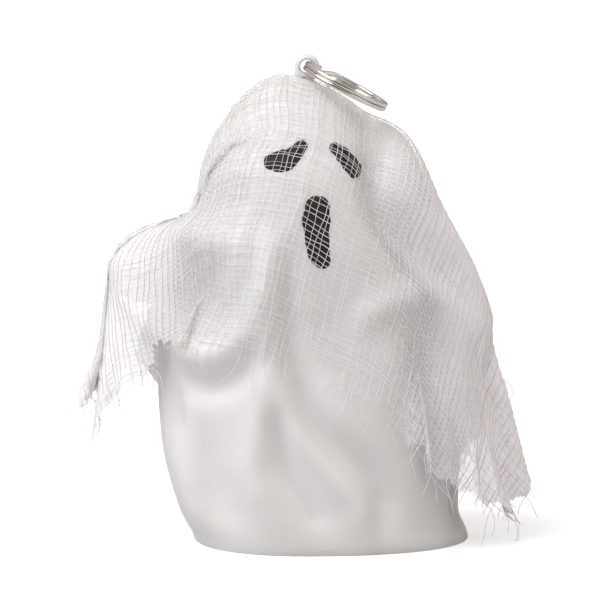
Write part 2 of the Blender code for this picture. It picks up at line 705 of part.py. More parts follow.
def cloth_rise(angles, depths):
    """How far the cloth stands off the plain body: over valleys and ridges alike, and clear at its corners."""
    plain = plain_body(angles, depths)
    radius = np.maximum(np.hypot(plain[:, 0], plain[:, 1]), DRAPE_REACH)
    highest = np.zeros_like(radius)
    reach = DRAPE_REACH * crown_share(depths)
    for aside in DRAPE_TRIES:
        for above in DRAPE_TRIES:
            near = angles + np.degrees(aside * reach / radius)
            deep = np.clip(depths + above * reach / BODY_HEIGHT, 0.0, 1.0)
            highest = np.maximum(highest, fold_rise(near, deep))
    for angle, depth, off, along, down in CLEAR_SHARES:
        turned = np.radians((angles - angle + 180.0) % 360.0 - 180.0)
        aside = turned * radius / (along * BODY_HEIGHT)
        above = (depths - depth) / down
        highest += off * BODY_HEIGHT * np.exp(-(aside**2)) * np.exp(-(np.minimum(above, 0.0) ** 2))
    return highest + fold_rise(angles, depths, HANGING_FOLDS)


def crown_share(depths):
    """The part of the cloth's lift and reach at a depth: it lies closer to the body under the ring."""
    lower = np.clip(depths / DRAPE_CROWN_DEPTH_SHARE, 0.0, 1.0)
    return DRAPE_CROWN_SHARE + (1.0 - DRAPE_CROWN_SHARE) * lower**3


def make_drape(material):
    """The gauze drape: a thin folded skin with a hole for the lug and a hem that is lowest at its corners."""
    angles = np.array([row[0] for row in HEM_SHARES])
    middles = (angles + np.append(angles[1:], angles[0] + 360.0)) / 2
    wide = np.append(angles[1:], angles[0] + 360.0) - angles > DRAPE_COLUMN_DEG
    angles = np.sort(np.concatenate([angles, middles[wide]]))
    knots = [row[0] for row in HEM_SHARES] + [HEM_SHARES[0][0] + 360.0]
    hems = smooth_between(knots, [row[1] for row in HEM_SHARES] + [HEM_SHARES[0][1]], angles)[:, 0]
    start = depth_at_radius(angles, LUG_WIDTH / 2 + DRAPE_HOLE_CLEARANCE)
    under, over = [], []
    for t in np.linspace(0.0, 1.0, DRAPE_ROWS) ** DRAPE_ROW_CROWDING:
        depths = start + (hems - start) * t
        plain, normals = plain_body(angles, depths), plain_normals(angles, depths)
        rise = cloth_rise(angles, depths) + GAP + DRAPE_LIFT * crown_share(depths)
        under.append(plain + normals * rise[:, None])
        over.append(plain + normals * (rise + DRAPE_THICKNESS)[:, None])
    bm = bmesh.new()
    add_rings(bm, over + under[::-1], closed=True)
    return object_from(bm, "gauze_drape", material, smooth=True)


# The base and the lamp in it


def make_base(material):
    """The base housing: a plate that fills the seat, with the battery bay, switch seat and screw bosses."""
    angles = column_angles()
    foot = plain_body(angles, np.ones_like(angles))
    radius = np.hypot(foot[:, 0], foot[:, 1])
    ring = foot * ((radius - RIM_WALL - GAP) / radius)[:, None]
    upper = ring.copy()
    upper[:, 2] = PLATE_TOP
    bm = bmesh.new()
    add_rings(bm, [ring, upper], closed=False)
    base = object_from(bm, "base_housing", material)
    bm = bmesh.new()
    outer = Vector((BAY_LENGTH / 2 + BAY_WALL, BAY_WIDTH / 2 + BAY_WALL, 0.0))
    centre = Vector((BAY_X, BAY_Y, 0.0))
    sunk, roof = Vector((0, 0, PLATE_TOP - OVERRUN)), Vector((0, 0, BAY_ROOF))
    add_box(bm, centre - outer + sunk, centre + outer + roof)
    combine(base, helper(bm, "bay_walls"), "UNION")
    for name, place in boss_places().items():
        bm = bmesh.new()
        add_post(bm, BOSS_RADIUS, PLATE_TOP - OVERRUN, PLATE_TOP + BOSS_HEIGHT, place)
        combine(base, helper(bm, f"{name}_boss"), "UNION")
    for side in (-1.0, 1.0):
        bm = bmesh.new()
        rib = SWITCH_X + side * (SWITCH_LENGTH / 2 + GAP + SWITCH_RIB / 2)
        low = (rib - SWITCH_RIB / 2, SWITCH_Y - SWITCH_WIDTH / 2, PLATE_TOP - OVERRUN)
        high = (rib + SWITCH_RIB / 2, SWITCH_Y + SWITCH_WIDTH / 2, PLATE_TOP + SWITCH_RIB_HEIGHT)
        add_box(bm, low, high)
        combine(base, helper(bm, f"switch_rib_{'left' if side < 0 else 'right'}"), "UNION")
    cut_base(base)


def boss_places():
    """The screw bosses' places: the door's, and one under each ear of the cover."""
    return {
        "door": (DOOR_SCREW_X, BAY_Y),
        "front": (BAY_X, BAY_Y - EAR_PLACE),
        "back": (BAY_X, BAY_Y + EAR_PLACE),
    }


def cut_base(base):
    """Opens the plate for the cells, the door, the switch's knob and the screws."""
    low = (BAY_X - BAY_LENGTH / 2, BAY_Y - BAY_WIDTH / 2, -OVERRUN)
    cut_box(base, "bay_space", low, (BAY_X + BAY_LENGTH / 2, BAY_Y + BAY_WIDTH / 2, BAY_CEILING))
    bm = bmesh.new()
    low = (DOOR_START - GAP, BAY_Y - DOOR_WIDTH / 2 - GAP, -OVERRUN)
    add_upright_box(bm, low, (DOOR_END + GAP, BAY_Y + DOOR_WIDTH / 2 + GAP, DOOR_CEILING), DOOR_CORNER)
    combine(base, helper(bm, "door_recess"), "DIFFERENCE")
    half = Vector((POCKET_LENGTH / 2, POCKET_WIDTH / 2, 0.0))
    middle = Vector((SWITCH_X, SWITCH_Y, 0.0))
    below = Vector((0, 0, OVERRUN))
    cut_box(base, "knob_pocket", middle - half - below, middle + half + Vector((0, 0, POCKET_DEPTH)))
    half = Vector((KNOB_LENGTH / 2 + SWITCH_TRAVEL / 2 + GAP, KNOB_WIDTH / 2 + GAP, 0.0))
    top = Vector((0, 0, PLATE_TOP + OVERRUN))
    cut_box(base, "knob_slot", middle - half - below, middle + half + top)
    places = boss_places()
    cut_bore(base, "door_screw_bore", places["door"], SCREW_RADIUS + GAP, -OVERRUN, GAP + SCREW_LENGTH + GAP)
    bottom = EAR_BOTTOM + COVER_EAR_THICKNESS + SCREW_HEAD_HEIGHT + GAP - SCREW_LENGTH - GAP
    for name in ("front", "back"):
        cut_bore(base, f"{name}_screw_bore", places[name], SCREW_RADIUS + GAP, bottom, EAR_BOTTOM + OVERRUN)


def make_door(material):
    """The battery door, which fills its recess and is held by one screw."""
    bm = bmesh.new()
    low = (DOOR_START, BAY_Y - DOOR_WIDTH / 2, 0.0)
    add_upright_box(bm, low, (DOOR_END, BAY_Y + DOOR_WIDTH / 2, DOOR_THICKNESS), DOOR_CORNER)
    door = object_from(bm, "battery_door", material, origin=(DOOR_SCREW_X, BAY_Y, 0.0))
    place = (DOOR_SCREW_X, BAY_Y)
    cut_bore(door, "door_bore", place, SCREW_RADIUS + GAP, -OVERRUN, DOOR_THICKNESS + OVERRUN)
    cut_bore(door, "door_head_seat", place, SCREW_HEAD_RADIUS + GAP, -OVERRUN, GAP + SCREW_HEAD_HEIGHT + GAP)
    for k in range(GRIP_COUNT):
        x = DOOR_START + DOOR_CORNER + (k + 1) * GRIP_PITCH
        low = (x - GRIP_WIDTH / 2, BAY_Y - GRIP_LENGTH / 2, -OVERRUN)
        cut_box(door, f"door_grip_{k + 1}", low, (x + GRIP_WIDTH / 2, BAY_Y + GRIP_LENGTH / 2, GRIP_DEPTH))


def make_screw(name, place, head, upwards, material):
    """A slotted screw whose head's outer face is at the given height, pointing up or down from it."""
    way = 1.0 if upwards else -1.0
    shank = head + way * SCREW_HEAD_HEIGHT
    tip = head + way * SCREW_LENGTH
    top, rim = SCREW_HEAD_RADIUS * SCREW_TOP_SHARE, head + way * SCREW_HEAD_HEIGHT / 2
    profile = [(0.0, head), (top, head), (SCREW_HEAD_RADIUS, rim), (SCREW_HEAD_RADIUS, shank)]
    profile += [(SCREW_RADIUS, shank), (SCREW_RADIUS, tip - way * SCREW_RADIUS), (0.0, tip)]
    bm = bmesh.new()
    add_turned(bm, profile, (*place, 0.0), SCREW_SEGMENTS)
    screw = object_from(bm, name, material, origin=(*place, head), smooth=True)
    low, high = sorted((head - way * OVERRUN, head + way * SCREW_SLOT_DEPTH))
    reach, half = SCREW_HEAD_RADIUS + OVERRUN, SCREW_SLOT_WIDTH / 2
    x, y = place
    cut_box(screw, f"{name}_slot", (x - reach, y - half, low), (x + reach, y + half, high))


def add_post(bm, radius, low, high, place):
    profile = ((0.0, high), (radius, high), (radius, low), (0.0, low))
    add_turned(bm, profile, (*place, 0.0), BORE_SEGMENTS)


def lay_along_x(bm, centre):
    """Turns a shape made upright at the origin to lie along X, and moves it to its centre."""
    bmesh.ops.rotate(bm, verts=bm.verts, cent=(0.0, 0.0, 0.0), matrix=rotation("Y", 90.0))
    bmesh.ops.translate(bm, verts=bm.verts, vec=centre)


def make_cells(material):
    for k in range(CELL_COUNT):
        half, rim = CELL_THICKNESS / 2, CELL_RIM
        cap = CELL_RADIUS - 3.0 * rim
        profile = ((0.0, half), (cap, half), (cap, half - rim), (CELL_RADIUS - rim, half - rim))
        profile += ((CELL_RADIUS, half - 2.0 * rim), (CELL_RADIUS, rim - half))
        profile += ((CELL_RADIUS - rim, -half), (0.0, -half))
        bm = bmesh.new()
        add_turned(bm, profile, (0.0, 0.0, 0.0), CELL_SEGMENTS)
        x = CELL_START - half - k * (CELL_THICKNESS + GAP)
        lay_along_x(bm, (x, BAY_Y, CELL_HEIGHT))
        object_from(bm, f"battery_cell_{k + 1}", material, smooth=True)


def make_contacts(material):
    """The flat contact at one end of the cells and the coned spring at the other."""
    bm = bmesh.new()
    x = BAY_X + BAY_LENGTH / 2 - GAP
    low = (x - CONTACT_THICKNESS, BAY_Y - CONTACT_WIDTH / 2, CELL_HEIGHT - CONTACT_RISE / 2)
    add_box(bm, low, (x, BAY_Y + CONTACT_WIDTH / 2, CELL_HEIGHT + CONTACT_RISE / 2))
    object_from(bm, "contact_plate", material)
    start = BAY_X - BAY_LENGTH / 2 + GAP + SPRING_WIRE
    end = CELL_START - CELL_COUNT * CELL_THICKNESS - (CELL_COUNT - 1) * GAP - GAP - SPRING_WIRE
    points = []
    for k in range(SPRING_TURNS * SPRING_STEPS + 1):
        share, turn = k / (SPRING_TURNS * SPRING_STEPS), k * math.tau / SPRING_STEPS
        radius = SPRING_RADIUS + (SPRING_TIP_RADIUS - SPRING_RADIUS) * share
        across = (radius * math.cos(turn), radius * math.sin(turn))
        points.append((start + (end - start) * share, BAY_Y + across[0], CELL_HEIGHT + across[1]))
    make_tube("contact_spring", points, SPRING_WIRE, material)


def make_tube(name, points, radius, material):
    curve = bpy.data.curves.new(name, "CURVE")
    curve.dimensions = "3D"
    curve.bevel_depth = radius
    curve.bevel_resolution = 1
    curve.use_fill_caps = True
    spline = curve.splines.new("POLY")
    spline.points.add(len(points) - 1)
    for point, place in zip(spline.points, points):
        point.co = (*place, 1.0)
    curve.materials.append(material)
    obj = bpy.data.objects.new(name, curve)
    bpy.context.scene.collection.objects.link(obj)


def make_switch(body_material, knob_material):
    """The slide switch: a case over the plate's slot, and the slider whose knob reaches into the pocket."""
    bm = bmesh.new()
    half = Vector((SWITCH_LENGTH / 2, SWITCH_WIDTH / 2, 0.0))
    middle = Vector((SWITCH_X, SWITCH_Y, 0.0))
    add_box(bm, middle - half + Vector((0, 0, SWITCH_BOTTOM)), middle + half + Vector((0, 0, SWITCH_TOP)))
    case = object_from(bm, "switch_body", body_material)
    for k in (-1, 0, 1):
        bm = bmesh.new()
        pin = middle + Vector((k * SWITCH_PIN_PITCH, 0.0, 0.0))
        reach = Vector((SWITCH_PIN / 2, SWITCH_PIN / 2, 0.0))
        low = pin - reach + Vector((0, 0, SWITCH_TOP - OVERRUN))
        add_box(bm, low, pin + reach + Vector((0, 0, SWITCH_TOP + SWITCH_PIN_LENGTH)))
        combine(case, helper(bm, f"switch_pin_{k + 2}"), "UNION")
    flange = Vector((KNOB_LENGTH / 2 + KNOB_FLANGE, KNOB_WIDTH / 2 + KNOB_FLANGE, 0.0))
    room = flange + Vector((SWITCH_TRAVEL / 2 + GAP, GAP, 0.0))
    top = SWITCH_BOTTOM + KNOB_FOOT + 2.0 * GAP
    cut_box(case, "slider_space", middle - room, middle + room + Vector((0, 0, top)))
    bm = bmesh.new()
    knob = Vector((KNOB_X, SWITCH_Y, 0.0))
    foot = Vector((0, 0, SWITCH_BOTTOM + KNOB_FOOT))
    add_box(bm, knob - flange + Vector((0, 0, SWITCH_BOTTOM)), knob + flange + foot)
    slider = object_from(bm, "switch_slider", knob_material, origin=(KNOB_X, SWITCH_Y, SWITCH_BOTTOM))
    bm = bmesh.new()
    stem = Vector((KNOB_LENGTH / 2, KNOB_WIDTH / 2, 0.0))
    low = knob - stem + Vector((0, 0, GAP))
    add_upright_box(bm, low, knob + stem + Vector((0, 0, SWITCH_BOTTOM + KNOB_FOOT / 2)), KNOB_FLANGE / 2)
    combine(slider, helper(bm, "slider_knob"), "UNION")


def make_lamp(board_material, lens_material, resistor_material, wire_materials):
    """The circuit board on the bay's roof, with its lamp and resistor, and the two wires from the switch."""
    bm = bmesh.new()
    half = Vector((BOARD_LENGTH / 2, BOARD_WIDTH / 2, 0.0))
    middle = Vector((BAY_X, BAY_Y, 0.0))
    add_box(bm, middle - half + Vector((0, 0, BOARD_BOTTOM)), middle + half + Vector((0, 0, BOARD_TOP)))
    object_from(bm, "circuit_board", board_material)
    low, waist = BOARD_TOP + GAP, BOARD_TOP + GAP + LED_FLANGE_HEIGHT
    dome = low + LED_HEIGHT - LED_RADIUS
    profile = [(0.0, dome + LED_RADIUS)]
    for turn in np.linspace(math.pi / 2, 0.0, LED_DOME_STEPS + 1)[1:]:
        profile.append((LED_RADIUS * math.cos(turn), dome + LED_RADIUS * math.sin(turn)))
    profile += [(LED_RADIUS, waist), (LED_FLANGE, waist), (LED_FLANGE, low), (0.0, low)]
    bm = bmesh.new()
    add_turned(bm, profile, (BAY_X + LED_OFFSET, BAY_Y, 0.0), LED_SEGMENTS)
    object_from(bm, "led_bulb", lens_material, smooth=True)
    half, swell = RESISTOR_LENGTH / 2, RESISTOR_LENGTH / 4
    profile = ((0.0, half + LEAD_REACH), (LEAD_RADIUS, half + LEAD_REACH), (LEAD_RADIUS, half))
    profile += ((RESISTOR_WAIST, half), (RESISTOR_RADIUS, half - LEAD_RADIUS), (RESISTOR_RADIUS, swell))
    profile += ((RESISTOR_WAIST, swell - LEAD_RADIUS), (RESISTOR_WAIST, LEAD_RADIUS - swell))
    profile += ((RESISTOR_RADIUS, -swell), (RESISTOR_RADIUS, LEAD_RADIUS - half))
    profile += ((RESISTOR_WAIST, -half), (LEAD_RADIUS, -half))
    profile += ((LEAD_RADIUS, -half - LEAD_REACH), (0.0, -half - LEAD_REACH))
    bm = bmesh.new()
    add_turned(bm, profile, (0.0, 0.0, 0.0), SCREW_SEGMENTS)
    bmesh.ops.rotate(bm, verts=bm.verts, cent=(0.0, 0.0, 0.0), matrix=rotation("X", 90.0))
    bmesh.ops.translate(bm, verts=bm.verts, vec=(BAY_X + RESISTOR_OFFSET, BAY_Y, low + RESISTOR_RADIUS))
    object_from(bm, "resistor", resistor_material, smooth=True)
    for (name, material), k in zip(wire_materials.items(), (0, 1)):
        make_tube(name, wire_route(k), WIRE_RADIUS, material)


def wire_route(k):
    """Points of a wire from the switch's pin, through the cover's notch and down to the board."""
    pin = SWITCH_X + k * SWITCH_PIN_PITCH
    y = BAY_Y + (1 - 2 * k) * WIRE_SPREAD
    base, over = SWITCH_TOP + SWITCH_PIN_LENGTH + GAP, BOARD_TOP + WIRE_NOTCH_HEIGHT / 2
    wall = BAY_X - COVER_LENGTH / 2
    edge = BAY_X - BOARD_LENGTH / 2 + WIRE_SPREAD
    route = [
        (pin, SWITCH_Y, base),
        (pin, SWITCH_Y, base + WIRE_RISE / 2),
        ((pin + wall) / 2, (SWITCH_Y + 2.0 * y) / 3, over + WIRE_RADIUS),
        (wall, y, over),
        (edge - WIRE_SPREAD, y, over),
        (edge, y, BOARD_TOP + GAP + WIRE_RADIUS),
        (edge, y, BOARD_TOP + GAP),
    ]
    lengths = np.concatenate([[0.0], np.cumsum(np.linalg.norm(np.diff(route, axis=0), axis=1))])
    return smooth_between(lengths, route, np.linspace(0.0, lengths[-1], WIRE_POINTS))


def make_cover(material):
    """The cover over the bay and board, with two screwed ears, the lamp's hole and a notch for the wires."""
    middle = Vector((BAY_X, BAY_Y, 0.0))
    half = Vector((COVER_LENGTH / 2, COVER_WIDTH / 2, 0.0))
    bm = bmesh.new()
    low = middle - half + Vector((0, 0, PLATE_TOP + GAP))
    add_upright_box(bm, low, middle + half + Vector((0, 0, COVER_TOP)), COVER_CORNER)
    cover = object_from(bm, "module_cover", material)
    for name, way in (("front", -1.0), ("back", 1.0)):
        bm = bmesh.new()
        near = way * (COVER_WIDTH / 2 - COVER_WALL / 2)
        far = way * (COVER_WIDTH / 2 + COVER_EAR)
        low = middle + Vector((-BOSS_RADIUS, min(near, far), EAR_BOTTOM))
        high = middle + Vector((BOSS_RADIUS, max(near, far), EAR_BOTTOM + COVER_EAR_THICKNESS))
        add_box(bm, low, high)
        combine(cover, helper(bm, f"{name}_ear"), "UNION")
    inside = half - Vector((COVER_WALL, COVER_WALL, 0.0))
    cut_box(cover, "cover_space", middle - inside, middle + inside + Vector((0, 0, COVER_CEILING)))
    place = (BAY_X + LED_OFFSET, BAY_Y)
    cut_bore(cover, "lamp_hole", place, LED_RADIUS + 2.0 * GAP, COVER_CEILING - OVERRUN, COVER_TOP + OVERRUN)
    for name in ("front", "back"):
        low, high = EAR_BOTTOM - OVERRUN, EAR_BOTTOM + COVER_EAR_THICKNESS + OVERRUN
        cut_bore(cover, f"{name}_ear_bore", boss_places()[name], SCREW_RADIUS + GAP, low, high)
    wall = BAY_X - COVER_LENGTH / 2
    low = (wall - OVERRUN, BAY_Y - WIRE_NOTCH_WIDTH / 2, BOARD_TOP)
    high = (wall + COVER_WALL + OVERRUN, BAY_Y + WIRE_NOTCH_WIDTH / 2, BOARD_TOP + WIRE_NOTCH_HEIGHT)
    cut_box(cover, "wire_notch", low, high)


def main():
    for obj in list(bpy.data.objects):
        bpy.data.objects.remove(obj, do_unlink=True)
    moulding = material_of("moulded_white", (0.86, 0.85, 0.86), 0.38)
    print_ink = material_of("face_print", (0.035, 0.028, 0.026), 0.55)
    chrome = material_of("ring_chrome", (0.78, 0.78, 0.80), 0.12, metallic=1.0)
    gauze = material_of("white_gauze", (0.90, 0.88, 0.88), 0.9)
    housing = material_of("base_plastic", (0.82, 0.82, 0.82), 0.5)
    make_shell(moulding)
    for film in FILMS:
        make_film(film, print_ink)
    make_lug(moulding)
    make_ring(chrome)
    make_drape(gauze)
    make_base(housing)
    make_door(housing)
    steel = material_of("screw_steel", (0.62, 0.63, 0.65), 0.3, metallic=1.0)
    make_screw("door_screw", boss_places()["door"], GAP, True, steel)
    head = EAR_BOTTOM + COVER_EAR_THICKNESS + GAP + SCREW_HEAD_HEIGHT
    for name in ("front", "back"):
        make_screw(f"cover_screw_{name}", boss_places()[name], head, False, steel)
    make_cells(material_of("cell_steel", (0.72, 0.72, 0.70), 0.25, metallic=1.0))
    make_contacts(material_of("contact_nickel", (0.70, 0.68, 0.62), 0.3, metallic=1.0))
    make_switch(
        material_of("switch_case", (0.55, 0.56, 0.58), 0.4, metallic=1.0),
        material_of("switch_knob", (0.03, 0.03, 0.03), 0.5),
    )
    make_lamp(
        material_of("board_green", (0.05, 0.22, 0.10), 0.5),
        material_of("lamp_lens", (0.95, 0.93, 0.85), 0.05, transmission=0.9),
        material_of("resistor_beige", (0.72, 0.62, 0.45), 0.5),
        {
            "wire_red": material_of("red_insulation", (0.55, 0.03, 0.03), 0.5),
            "wire_black": material_of("black_insulation", (0.02, 0.02, 0.02), 0.5),
        },
    )
    make_cover(material_of("cover_plastic", (0.90, 0.90, 0.90), 0.45))


main()
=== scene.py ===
"""A hanging ghost decoration: a moulded white lamp body under a square of open gauze, and a split ring.

Frame: metres, +Z up, the face looks along -Y, and the origin is on the flat base, under the hanging lug.
Angles go round +Z from +X in degrees, so the face is at -90. Depths run from 0 at the crown to 1 at the
foot of the body.
"""

import logging
import math
from collections.abc import Iterable, Sequence
from dataclasses import dataclass, field
from enum import Enum

import bmesh
import bpy
import numpy as np
from mathutils import Matrix, Vector
from mathutils.bvhtree import BVHTree


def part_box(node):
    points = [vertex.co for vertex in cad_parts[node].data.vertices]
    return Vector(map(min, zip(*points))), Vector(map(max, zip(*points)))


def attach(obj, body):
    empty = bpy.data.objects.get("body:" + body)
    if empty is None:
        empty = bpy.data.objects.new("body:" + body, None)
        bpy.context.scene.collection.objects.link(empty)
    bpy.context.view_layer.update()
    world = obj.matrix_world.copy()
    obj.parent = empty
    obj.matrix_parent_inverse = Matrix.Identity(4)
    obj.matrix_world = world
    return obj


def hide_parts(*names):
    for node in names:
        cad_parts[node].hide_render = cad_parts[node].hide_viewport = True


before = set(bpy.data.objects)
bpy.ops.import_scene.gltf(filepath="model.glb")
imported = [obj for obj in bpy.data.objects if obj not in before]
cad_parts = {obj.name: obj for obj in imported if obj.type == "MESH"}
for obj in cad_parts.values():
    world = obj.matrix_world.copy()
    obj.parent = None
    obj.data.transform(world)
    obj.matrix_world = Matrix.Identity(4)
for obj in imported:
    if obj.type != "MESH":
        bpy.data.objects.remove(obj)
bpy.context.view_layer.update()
LOG = logging.getLogger("ghost")

Array = np.ndarray
Colour = tuple[float, float, float]
Point = tuple[float, float, float]
Socket = bpy.types.NodeSocket
Tree = bpy.types.NodeTree

GHOST = "ghost"
RING = "ring"

WELD = 0.0000005  # points closer than this are one
GAP = 0.0003  # between pieces that touch
COVER_NAME = "cover"  # how much of what is behind the lint hides
CUT_NAME = "cut"  # each point's place on the cut gauze
WARP_SPACING = 0.0019
WEFT_SPACING = 0.0014

# Depth below the crown, then the reach to the left, right, front and back, as shares of the body's height
PROFILE_SHARES = (
    (0.000, 0.000, 0.000, 0.000, 0.000),
    (0.010, 0.060, 0.038, 0.046, 0.046),
    (0.032, 0.105, 0.076, 0.080, 0.079),
    (0.060, 0.146, 0.097, 0.110, 0.108),
    (0.095, 0.178, 0.120, 0.138, 0.134),
    (0.135, 0.204, 0.157, 0.165, 0.159),
    (0.190, 0.225, 0.195, 0.199, 0.191),
    (0.250, 0.236, 0.220, 0.220, 0.210),
    (0.300, 0.248, 0.236, 0.234, 0.225),
    (0.350, 0.274, 0.254, 0.246, 0.238),
    (0.400, 0.303, 0.274, 0.254, 0.246),
    (0.490, 0.321, 0.306, 0.266, 0.258),
    (0.600, 0.325, 0.331, 0.277, 0.267),
    (0.720, 0.322, 0.341, 0.287, 0.272),
    (0.820, 0.311, 0.336, 0.293, 0.272),
    (0.900, 0.290, 0.330, 0.298, 0.267),
    (0.955, 0.269, 0.333, 0.300, 0.262),
    (0.985, 0.251, 0.347, 0.296, 0.256),
    (1.000, 0.246, 0.351, 0.291, 0.250),
)


@dataclass(frozen=True)
class Fold:
    """A ridge, or with a negative rise a valley, along a path of (angle in degrees, height share)."""

    rise_share: float
    width_share: float
    path_shares: tuple[tuple[float, float], ...]


FOLDS = (
    # right arm, from the shoulder down to the hidden hand, and the groove beside the face
    Fold(
        0.0483,
        0.0692,
        ((3, 0.862), (-3, 0.830), (-12, 0.80), (-17, 0.75), (-17, 0.67), (-13, 0.58), (-8, 0.50), (-4, 0.42)),
    ),
    Fold(-0.0338, 0.0370, ((-26, 0.88), (-46, 0.80), (-48, 0.73), (-38, 0.66), (-29, 0.60), (-20, 0.52))),
    # left arm, held out sideways, with the sheet falling from it
    Fold(0.0370, 0.0467, ((-130, 0.655), (-146, 0.665), (-163, 0.655), (180, 0.648), (164, 0.640))),
    Fold(
        0.0209, 0.0338, ((-174, 0.60), (-160, 0.50), (-143, 0.43), (-126, 0.44), (-115, 0.51), (-109, 0.64))
    ),
    Fold(-0.0242, 0.0628, ((-138, 0.58), (-136, 0.51))),
    Fold(0.0129, 0.0258, ((-125, 0.70), (-122, 0.62), (-127, 0.56))),
    Fold(-0.0193, 0.0370, ((-155, 0.37), (-153, 0.30), (-150, 0.24))),
    Fold(-0.0177, 0.0322, ((-150, 0.375), (-136, 0.352), (-122, 0.375), (-112, 0.43))),
    # front of the skirt
    Fold(0.0225, 0.0419, ((-107, 0.66), (-108, 0.38), (-111, 0.25), (-112, 0.17), (-103, 0.07))),
    Fold(-0.0145, 0.0274, ((-99, 0.66), (-99, 0.52), (-98, 0.42))),
    Fold(-0.0225, 0.0322, ((-97, 0.41), (-91, 0.335), (-82, 0.265), (-68, 0.195), (-60, 0.14), (-56, 0.07))),
    Fold(0.0161, 0.0290, ((-101, 0.37), (-98, 0.32), (-92, 0.255), (-80, 0.175), (-70, 0.115), (-66, 0.05))),
    Fold(-0.0161, 0.0274, ((-104, 0.32), (-102, 0.255), (-97, 0.175), (-89, 0.11), (-82, 0.05))),
    Fold(0.0129, 0.0483, ((-78, 0.36), (-66, 0.29), (-52, 0.22), (-44, 0.13))),
    Fold(-0.0145, 0.0564, ((-83, 0.53), (-78, 0.47))),
    # chest on the right, under the gauze
    Fold(0.0177, 0.0338, ((-66, 0.50), (-56, 0.53), (-44, 0.545), (-32, 0.54))),
    Fold(-0.0193, 0.0354, ((-37, 0.48), (-39, 0.41), (-40, 0.34))),
    Fold(0.0145, 0.0531, ((-52, 0.46), (-54, 0.38), (-52, 0.30))),
    Fold(0.0193, 0.0483, ((-27, 0.42), (-28, 0.30), (-26, 0.18))),
    Fold(-0.0209, 0.0354, ((-14, 0.22), (-13, 0.12), (-16, 0.06))),
    # left side of the skirt
    Fold(-0.0161, 0.0483, ((-135, 0.27), (-133, 0.17), (-126, 0.08))),
    Fold(0.0145, 0.0467, ((-146, 0.20), (-144, 0.12), (-140, 0.05))),
    # back, which falls from the shoulders in long folds
    Fold(0.0209, 0.0564, ((150, 0.58), (152, 0.36), (150, 0.14))),
    Fold(-0.0193, 0.0515, ((132, 0.60), (130, 0.36), (134, 0.12))),
    Fold(0.0209, 0.0580, ((108, 0.62), (112, 0.36), (108, 0.12))),
    Fold(-0.0209, 0.0515, ((88, 0.60), (90, 0.34), (84, 0.12))),
    Fold(0.0209, 0.0564, ((66, 0.60), (66, 0.36), (64, 0.14))),
    Fold(-0.0193, 0.0499, ((42, 0.62), (42, 0.38), (46, 0.14))),
    Fold(0.0193, 0.0515, ((22, 0.50), (24, 0.32), (26, 0.14))),
)


@dataclass(frozen=True)
class Film:
    """A printed feature of the face: X, height and half width along it, as shares of the body's height."""

    name: str
    station_shares: tuple[tuple[float, float, float], ...]


FILMS = (
    Film(
        "left_eye",
        (
            (-0.0758, 0.8360, 0.0175),
            (-0.0535, 0.8385, 0.0240),
            (-0.0330, 0.8480, 0.0195),
            (-0.0125, 0.8690, 0.0135),
        ),
    ),
    Film(
        "right_eye",
        (
            (0.0580, 0.8655, 0.0105),
            (0.0729, 0.8535, 0.0150),
            (0.0896, 0.8345, 0.0170),
            (0.1030, 0.8170, 0.0160),
        ),
    ),
    Film(
        "mouth",
        (
            (0.0217, 0.7405, 0.0280),
            (0.0196, 0.7130, 0.0311),
            (0.0211, 0.6810, 0.0266),
            (0.0252, 0.6480, 0.0255),
            (0.0329, 0.6320, 0.0180),
        ),
    ),
)

# Depth of the gauze's hem at each angle, as a share of the body's height
HEM_SHARES = (
    (-180.0, 0.69), (-177.5, 0.70), (-176.0, 0.79), (-173.5, 0.80), (-171.5, 0.715),
    (-168.0, 0.675), (-160.0, 0.65), (-154.0, 0.575), (-140.0, 0.555), (-117.0, 0.570),
    (-98.0, 0.575), (-84.0, 0.61), (-70.0, 0.67), (-56.0, 0.745), (-50.0, 0.79), (-42.0, 0.84),
    (-34.0, 0.875), (-27.0, 0.91), (-16.0, 0.94), (-9.0, 0.945), (-3.0, 0.88), (3.0, 0.81),
    (12.0, 0.78), (24.0, 0.79), (34.0, 0.87), (42.0, 0.88), (54.0, 0.78), (72.0, 0.68),
    (92.0, 0.63), (114.0, 0.61), (134.0, 0.65), (148.0, 0.77), (156.0, 0.78), (164.0, 0.69),
    (172.0, 0.70),
)

# How much the layers of gauze cover what is behind them, at each angle round the ghost
LAYERS = (
    (-180.0, 0.86), (-165.0, 0.86), (-154.0, 0.78), (-142.0, 0.30), (-125.0, 0.06), (-110.0, 0.0),
    (-64.0, 0.0), (-52.0, 0.26), (-42.0, 0.52), (-30.0, 0.82), (-15.0, 0.96), (60.0, 0.96),
    (130.0, 0.90), (180.0, 0.86),
)

# The distances kept along the threads: how many grid points apart, and how hard they pull and push
STRETCHES = ((4, 0.9, 0.02), (2, 0.5, 0.10), (1, 1.0, 1.0))
SLANT_GIVE = (0.06, 0.03)  # the same across the threads

# Where an angle on the cut gauze comes to lie round the ghost, and how crowded the gauze is there
GATHERS = (
    (-137.0, -172.0, 0.6), (-110.0, -145.0, 0.35), (-90.0, -125.0, 0.2), (-60.0, -61.5, 0.05),
    (-38.5, -16.0, 0.3), (0.0, 14.0, 0.9), (42.0, 45.0, 1.0), (90.0, 82.0, 1.0),
    (133.0, 125.0, 1.0), (180.0, 160.0, 1.0), (223.0, 188.0, 0.6),
)

# Numbers and meshes


